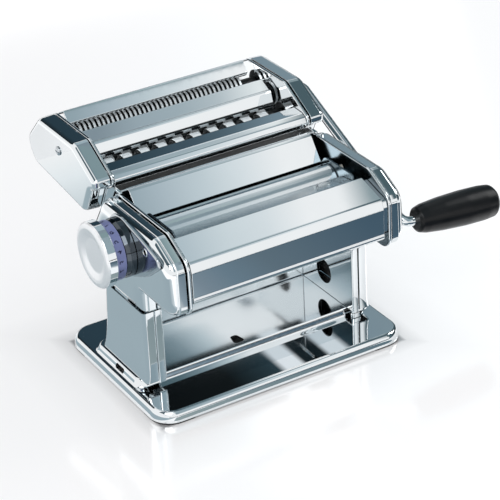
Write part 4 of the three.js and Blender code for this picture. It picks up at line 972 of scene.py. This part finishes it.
class BuildCuttingRollers(PieceOperator, bpy.types.Operator):
    """Builds the fine and the wide pair of cutting rollers"""
    bl_idname = "roller.build_cutting_rollers"
    bl_label = "Cutting rollers"

    def build(self, context):
        sizes = context.scene.roller_sizes
        fine, wide = (sizes.fine_discs, 7.0, 92.0, 40), (sizes.wide_discs, 6.4, 87.7, 64)
        for width, end, at, shape, driven in (("fine", "front", FINE_FRONT, fine, True),
                                              ("fine", "rear", FINE_REAR, fine, False),
                                              ("wide", "front", WIDE_FRONT, wide, False),
                                              ("wide", "rear", WIDE_REAR, wide, True)):
            roller = disc_roller(at, *shape, end == "rear", driven)
            obj = piece(width + "_roller_" + end, [roller], width + "_" + end,
                        [width + "_cutter_" + end], "disc_steel",
                        holes=[square_socket(at)] if driven else ())
            # Painted shade in the grooves, all that lies inside the discs' rims.
            coat(obj, "painted_shade_steel", lambda p, out: np.hypot(
                p[1] - at[0], p[2] - at[1]) < CUT_R - 0.2)


# ---- crank ----
def on_grip(profile, sides=64):
    """A solid of revolution about the grip's axis, from rows of distance and radius."""
    part = turned(profile, 0.0, 0.0, sides, 5)
    c, s = math.cos(GRIP_DROOP), math.sin(GRIP_DROOP)
    turn = np.array([[c, 0, -s], [0, 1, 0], [s, 0, c]])
    return part[0] @ turn + np.array(GRIP_AT), part[1]


class BuildCrank(PieceOperator, bpy.types.Operator):
    """Builds the crank's bent rod, its black grip and the grip's end cap"""
    bl_idname = "roller.build_crank"
    bl_label = "Crank"

    def build(self, context):
        y, z = FINE_FRONT
        along = np.array([math.cos(GRIP_DROOP), 0, -math.sin(GRIP_DROOP)])
        end = np.array(GRIP_AT) + along * (GRIP_START + GRIP_LEN - 3)
        path = bent_path([(99, y, z), (ARM_X, y, z), GRIP_AT, end], 7.0)
        square = slab(oblong(y, z, 2.45, 2.45, 0.4), 86.5, 100, 0.4, 3)
        piece("bent_crank_rod", [tube(path, 3.7, 28), square], "crank", ["crank_rod"],
              "knob_chrome")
        s, e = GRIP_START, GRIP_START + GRIP_LEN
        body = on_grip([[s, 4.1], [s, 7.2, 1.2], [s + 1.6, 9.4, 1.5], [s + 7, 10.9, 12],
                        [s + 22, 12.4, 40], [s + 42, 13.3, 60], [s + 59, 13.1, 30],
                        [e - 3.2, 12.2, 3], [e - 0.4, 9.6, 3.2], [e, 7.6, 1.4], [e, 4.1],
                        [e - 6, 4.0]])
        piece("moulded_grip", [body], "grip", ["crank_grip"], "grip_plastic")
        cap = on_grip([[e - 2.6, 0.3], [e - 2.6, 3.8], [e + 0.2, 3.8], [e + 0.3, 5.2, 0.3],
                       [e + 1.0, 4.6, 0.6], [e + 1.5, 2.4, 0.8], [e + 1.5, 0.3]], 40)
        piece("grip_end_cap", [cap], "crank", ["grip_cap"], "satin_steel")


class DressInnerPieces(PieceOperator, bpy.types.Operator):
    """Gives the gears, blocks, rods and coil inside the machine their finishes"""
    bl_idname = "roller.dress_inner_pieces"
    bl_label = "Inner pieces"

    def build(self, context):
        dress("gear_steel", "gear_front", "gear_rear", "wide_gear_front",
              "wide_gear_rear", "fine_gear_front", "fine_gear_rear")
        dress("nylon", "bearing_block_left", "bearing_block_right", "rear_bush_left",
              "rear_bush_right")
        dress("satin_steel", "tie_rod_front", "tie_rod_rear", "scraper_rear",
              "knob_shaft", "knob_spring")


# ---- stage ----
FLOOR_GLOW = 0.82    # the floor's own white, seen by the camera and in the steel
FLOOR_MIRROR = 0.28  # share of the floor's look that is its faint reflection
FLOOR_HALF = 4.0     # metres from the machine to the floor's edges
FLOOR_DROP = 0.0002  # metres from the feet down to the floor, so that they don't share a plane
MAT_UP = 0.0006      # metres from the floor up to a mat
HEART = np.array([0, 0, 0.1])    # metres: the point that the panels and lamps are laid round


def set_ramp(ramp, stops):
    """Gives a new colour ramp its stops, rows of share and linear colour."""
    marks = ramp.color_ramp.elements
    while len(marks) < len(stops):
        marks.new(1.0)
    for mark, (share, tone) in zip(marks, stops):
        mark.position = share
        mark.color = (*tone, 1)


def panel_glow(name, stops):
    """A panel that glows from its front only, its colour running through the stops (share, sRGB
    hex) along its first UV coordinate."""
    material, tree = blank(name)
    at = put(tree, "ShaderNodeUVMap")
    apart = put(tree, "ShaderNodeSeparateXYZ", {}, {0: at.outputs[0]})
    ramp = put(tree, "ShaderNodeValToRGB", {}, {0: apart.outputs[0]})
    set_ramp(ramp, [(share, linear(code)) for share, code in stops])
    glow = put(tree, "ShaderNodeEmission", {}, {"Color": ramp.outputs[0]})
    clear = put(tree, "ShaderNodeBsdfTransparent")
    side = put(tree, "ShaderNodeNewGeometry")
    both = put(tree, "ShaderNodeMixShader", {},
               {0: side.outputs["Backfacing"], 1: glow.outputs[0], 2: clear.outputs[0]})
    put(tree, "ShaderNodeOutputMaterial", {}, {"Surface": both.outputs[0]})
    return material


def panel(name, grid, stops):
    """A studio panel from a grid of points in metres about the base, [row][column], seen only in
    reflections; its colour runs along the columns and it glows to the side the grid faces."""
    rows, columns = grid.shape[:2]
    i, j = np.meshgrid(np.arange(rows - 1), np.arange(columns - 1), indexing="ij")
    q = (i * columns + j).ravel()
    faces = np.stack([q, q + 1, q + columns + 1, q + columns], 1)
    mesh = bpy.data.meshes.new(name)
    mesh.from_pydata((grid.reshape(-1, 3) + MIDDLE).tolist(), [], faces.tolist())
    u, v = np.meshgrid(np.linspace(0, 1, columns), np.linspace(0, 1, rows))
    uv = mesh.uv_layers.new(name="across")
    uv.data.foreach_set("uv", np.stack([u.ravel()[faces], v.ravel()[faces]], -1).ravel())
    obj = put_in_scene(name, mesh)
    mesh.materials.append(panel_glow(name + "_glow", stops))
    obj.visible_camera = obj.visible_diffuse = obj.visible_shadow = False
    obj.visible_transmission = False


def level_panel(name, x, y, z, stops, along="x", down=False):
    """A level panel over the ranges x and y at height z, its colour running along X or Y; it
    glows upward, or down."""
    x, y = np.meshgrid(np.linspace(*x, 3), np.linspace(*y, 3))
    grid = np.stack([x, y, np.full_like(x, z)], -1)
    if along == "y":
        grid = np.flip(grid, 1).transpose(1, 0, 2)
    panel(name, np.flip(grid, 0) if down else grid, stops)


def barrel_panel(name, reach, turns, radius, stops):
    """A panel on a sphere round the machine, laid out like a barrel about the X axis: the column
    at reach c and turn t lies towards (c, -q cos t, q sin t), q = sqrt(1 - c^2), so that turn 0 is
    the front and 90 the top; its colour runs along the reach."""
    c, t = np.meshgrid(np.linspace(*reach, 33), np.radians(np.linspace(*turns, 33)))
    q = np.sqrt(1 - c * c)
    grid = radius * np.stack([c, -q * np.cos(t), q * np.sin(t)], -1)
    panel(name, np.flip(grid, 0) + HEART, stops)


def lamp(name, at, size, power):
    """A square area lamp at a point in metres about the base, turned to face the machine."""
    data = bpy.data.lights.new(name, "AREA")
    data.size = size
    data.energy = power
    obj = put_in_scene(name, data)
    obj.location = tuple(np.array(at) + MIDDLE)
    way = unit(np.array(at, float) - HEART)
    obj.rotation_euler = (math.acos(way[2]), 0, math.atan2(way[1], way[0]) + math.pi / 2)


def arithmetic(tree, operation, a, b):
    """The output of one arithmetic node; b is another output or a number."""
    if isinstance(b, (int, float)):
        return put(tree, "ShaderNodeMath", {"operation": operation, 1: b}, {0: a}).outputs[0]
    return put(tree, "ShaderNodeMath", {"operation": operation}, {0: a, 1: b}).outputs[0]


def floor_sheet():
    """The floor's material: a sheet that shades softly where no lamp reaches it, glows white to
    the camera and in the steel, and mirrors faintly. A painted shadow sinks the glow beside the
    tray and takes it away under it, by the distance outside the tray's rectangle."""
    material, tree = blank("white_floor_sheet")
    path = put(tree, "ShaderNodeLightPath")
    seen = arithmetic(tree, "MAXIMUM", path.outputs["Is Camera Ray"],
                      path.outputs["Is Glossy Ray"])
    at = put(tree, "ShaderNodeTexCoord")
    away = put(tree, "ShaderNodeVectorMath", {"operation": "SUBTRACT", 1: tuple(MIDDLE)},
               {0: at.outputs["Object"]})
    apart = put(tree, "ShaderNodeSeparateXYZ", {}, {0: put(
        tree, "ShaderNodeVectorMath", {"operation": "ABSOLUTE"},
        {0: away.outputs[0]}).outputs[0]})
    past = [arithmetic(tree, "SUBTRACT", apart.outputs[axis], half * MM)
            for axis, half in enumerate((BASE_X, BASE_Y))]
    painted_shadow = put(tree, "ShaderNodeValToRGB", {}, {0: put(
        tree, "ShaderNodeMapRange", {"From Min": -0.004, "From Max": 0.05},
        {"Value": arithmetic(tree, "MAXIMUM", *past)}).outputs[0]})
    set_ramp(painted_shadow, [(share, (level,) * 3) for share, level in
                        ((0.0, 0.0), (0.02, 0.0), (0.07, 0.62), (0.3, 0.9), (1.0, 1.0))])
    glow = arithmetic(tree, "MULTIPLY", painted_shadow.outputs[0], FLOOR_GLOW)
    sheet = put(tree, "ShaderNodeBsdfPrincipled",
                {"Base Color": (0.45, 0.45, 0.46, 1), "Roughness": 0.6,
                 "Specular IOR Level": 0.0, "Emission Color": (1, 1, 1, 1)},
                {"Emission Strength": arithmetic(tree, "MULTIPLY", seen, glow)})
    gloss = put(tree, "ShaderNodeBsdfAnisotropic", {"Color": (1, 1, 1, 1), "Roughness": 0.12})
    both = put(tree, "ShaderNodeMixShader", {0: FLOOR_MIRROR},
               {1: sheet.outputs[0], 2: gloss.outputs[0]})
    put(tree, "ShaderNodeOutputMaterial", {}, {"Surface": both.outputs[0]})
    return material


def white_surround(sky):
    """A world that is plain white to the camera and in the steel, and gives light at the level
    sky to everything else."""
    world = bpy.data.worlds.new("white_surround")
    world.use_nodes = True
    tree = world.node_tree
    tree.nodes.clear()
    path = put(tree, "ShaderNodeLightPath")
    seen = arithmetic(tree, "MAXIMUM", path.outputs["Is Camera Ray"],
                      path.outputs["Is Glossy Ray"])
    seen = arithmetic(tree, "MAXIMUM", seen, path.outputs["Is Transmission Ray"])
    level = put(tree, "ShaderNodeMapRange", {"To Min": sky, "To Max": 1.0}, {"Value": seen})
    glow = put(tree, "ShaderNodeBackground", {"Color": (1, 1, 1, 1)},
               {"Strength": level.outputs[0]})
    put(tree, "ShaderNodeOutputWorld", {}, {"Surface": glow.outputs[0]})
    return world


def hang_slate():
    """The strips of slate round the machine, over its middle and beyond the crank."""
    # Along the middle of the room, one strip for each slant of plate: white at its left end, it
    # turns to slate, fades on the crank's side, and is mostly dark again at its right end, for
    # the right-hand covers.
    first, last = -0.15, 0.62
    marks = (first, -0.05, 0.35, 0.38, 0.41, 0.44, 0.47, 0.495, 0.515)
    shares = [(c - first) / (last - first) for c in marks]
    for name, turns, codes in (
            ("front", (20, 54), "8A9CA5 9CAEB6 B4C2CA CBD7DC E6EDF0 FFFFFF FFFFFF 50646B"),
            ("front_high", (54, 76), "B0BFC6 98A9B1 8596A0 81939A 8899A0 9AAAB1 5E7179 50646B"),
            ("top", (76, 94), "768B94 8A9FA3 9EB2B4 B4C4C8 BCC6CA C9D2D6 5E7179 50646B"),
            ("top_rear", (94, 106), "6C7E88 8A99A2 A1B0B8 A8B7BE BFCACF F4F8F8 5E7179 50646B"),
            ("rear", (106, 131), "93A6AE A8BAC2 BFCDD4 D8E2E6 E4EBEE FFFFFF FFFFFF 8FA0A5")):
        barrel_panel("slate_" + name, (first, last), turns, 2.4,
                     [*zip(shares, ("FFFFFF", *codes.split()))])
    # The same slate low on the knob's side, for the faces turned that way.
    barrel_panel("slate_left", (-0.78, -0.3), (38, 100), 2.4, [(0.0, "3E5058"), (1.0, "5A6E77")])
    # The room's far end beyond the crank: dark, so that bright edges end in a line.
    barrel_panel("slate_end", (0.62, 0.995), (-20, 178), 2.5,
                 [(0.0, "50646B"), (0.4, "50646B"), (1.0, "26343A")])
    # A thin black flag along the front horizon draws a line in every rounded edge.
    barrel_panel("black_line", (-0.62, 0.62), (-4.5, -0.5), 2.2,
                 [(0.0, "07090A"), (1.0, "07090A")])
    # A dark flag behind, which the level tops and rounded edges show.
    barrel_panel("dark_flag", (-0.42, 0.62), (134, 166), 2.3,
                 [(0.0, "1C2529"), (0.74, "2E414C"), (0.8, "475A66"), (0.83, "5A6E79"),
                  (0.86, "7B8F9B"), (1.0, "8FA0A5")])


def lay_mats():
    """The mats on the floor, which upright faces and the tray's rim show, and the cards under
    the body, which the stand's inside shows."""
    level_panel("slate_mat_front", (-0.02, 0.42), (-0.95, -0.14), MAT_UP,
                [(0.0, "FFFFFF"), (0.05, "90A0AB"), (0.09, "7F8F9B"), (0.15, "6E8391"),
                 (0.23, "637581"), (0.45, "4A6070"), (1.0, "304652")])
    level_panel("slate_mat_rim", (-0.095, 0.10), (-0.14, -0.079), MAT_UP,
                [(0.0, "9CA9AB"), (0.5, "7C8E94"), (1.0, "617781")])
    level_panel("dark_mat_behind", (-0.085, 1.3), (0.10, 1.5), MAT_UP,
                [(0.0, "0C1012"), (1.0, "1A2023")])
    level_panel("grey_mat_left", (-0.42, -0.108), (-0.24, 0.36), MAT_UP,
                [(0.0, "D9E2E6"), (0.2, "A2B2BA"), (0.71, "A6B6BD"), (0.92, "F2F7F9"),
                 (1.0, "FFFFFF")], "y")
    bounce = [(0.0, "4B5F67"), (0.3, "5E747C"), (0.45, "8A9CA4"), (0.58, "C9D5DA"),
              (0.7, "FFFFFF")]
    dark = [(0.0, "0D1012"), (0.55, "14191B"), (0.8, "2C3E46"), (0.84, "EAEFF3"),
            (0.92, "EAEFF3"), (0.95, "1A2429")]
    for name, y, z, stops in (("bounce_card_under_body", (-0.037, 0.003), 0.0712, bounce),
                              ("bounce_card_under_nose", (-0.085, -0.039), 0.0872, bounce),
                              ("dark_card_under_body", (0.0035, 0.03), 0.0712, dark)):
        level_panel(name, (-0.077, 0.077), y, z, stops, down=True)


def aimed_camera():
    """A long-lens camera at the front left and above, from its place and its three axes."""
    data = bpy.data.cameras.new("camera")
    data.lens = 145.6
    data.sensor_width = 36.0
    data.clip_end = 20.0
    camera = put_in_scene("camera", data)
    place = np.eye(4)
    place[:3, 0] = [0.85510, -0.51631, -0.04714]
    place[:3, 1] = [0.28510, 0.39232, 0.87453]
    place[:3, 2] = [-0.43303, -0.76125, 0.48268]
    place[:3, 3] = np.array([-0.6187, -1.1156, 0.7783]) + MIDDLE
    camera.matrix_world = Matrix(place.tolist())
    return camera


class BuildStage(PieceOperator, bpy.types.Operator):
    """Builds the white floor, the surround, the lamps, the panels and the camera"""
    bl_idname = "roller.build_stage"
    bl_label = "Stage"

    def build(self, context):
        studio = context.scene.roller_studio
        floor = bpy.data.meshes.new("white_floor")
        corners = np.array([[-1, -1], [1, -1], [1, 1], [-1, 1]]) * FLOOR_HALF
        floor.from_pydata(ring_z(corners, -FLOOR_DROP).tolist(), [], [[0, 1, 2, 3]])
        floor.materials.append(floor_sheet())
        put_in_scene("white_floor", floor)
        context.scene.world = white_surround(studio.sky)
        lamp("key_lamp", (-0.9, -0.9, 1.3), 0.9, studio.key)
        lamp("fill_lamp", (1.3, -0.2, 1.0), 0.8, studio.fill)
        hang_slate()
        lay_mats()
        context.scene.camera = aimed_camera()
        context.scene.view_settings.view_transform = "Standard"


ORDER = (BuildBase, BuildFeet, BuildStand, BuildBodySides, BuildBodyPanels, BuildSmoothRollers,
         BuildKnob, BuildCutterEnds, BuildCutterPlates, BuildCuttingRollers, BuildCrank,
         DressInnerPieces, BuildStage)


class RollerPanel(bpy.types.Panel):
    """Lists the pieces of the pasta roller in the sidebar."""
    bl_idname = "VIEW3D_PT_pasta_roller"
    bl_label = "Pasta roller"
    bl_space_type = "VIEW_3D"
    bl_region_type = "UI"
    bl_category = "Pasta roller"

    def draw(self, context):
        column = self.layout.column()
        for kind in ORDER:
            column.operator(kind.bl_idname)
        for group in ("roller_sizes", "roller_finishes", "roller_studio"):
            box = self.layout.box()
            settings = getattr(context.scene, group)
            for key in settings.bl_rna.properties.keys():
                if key not in ("rna_type", "name"):
                    box.prop(settings, key)


GROUPS = (("roller_sizes", RollerSizes), ("roller_finishes", RollerFinishes),
          ("roller_studio", RollerStudio))


def register():
    for name, group in GROUPS:
        bpy.utils.register_class(group)
        setattr(bpy.types.Scene, name, PointerProperty(type=group))
    for kind in (*ORDER, RollerPanel):
        bpy.utils.register_class(kind)


def unregister():
    for kind in reversed((*ORDER, RollerPanel)):
        bpy.utils.unregister_class(kind)
    for name, group in reversed(GROUPS):
        delattr(bpy.types.Scene, name)
        bpy.utils.unregister_class(group)


def main():
    register()
    for kind in ORDER:
        space, action = kind.bl_idname.split(".")
        getattr(getattr(bpy.ops, space), action)()


if __name__ == "__main__":
    main()
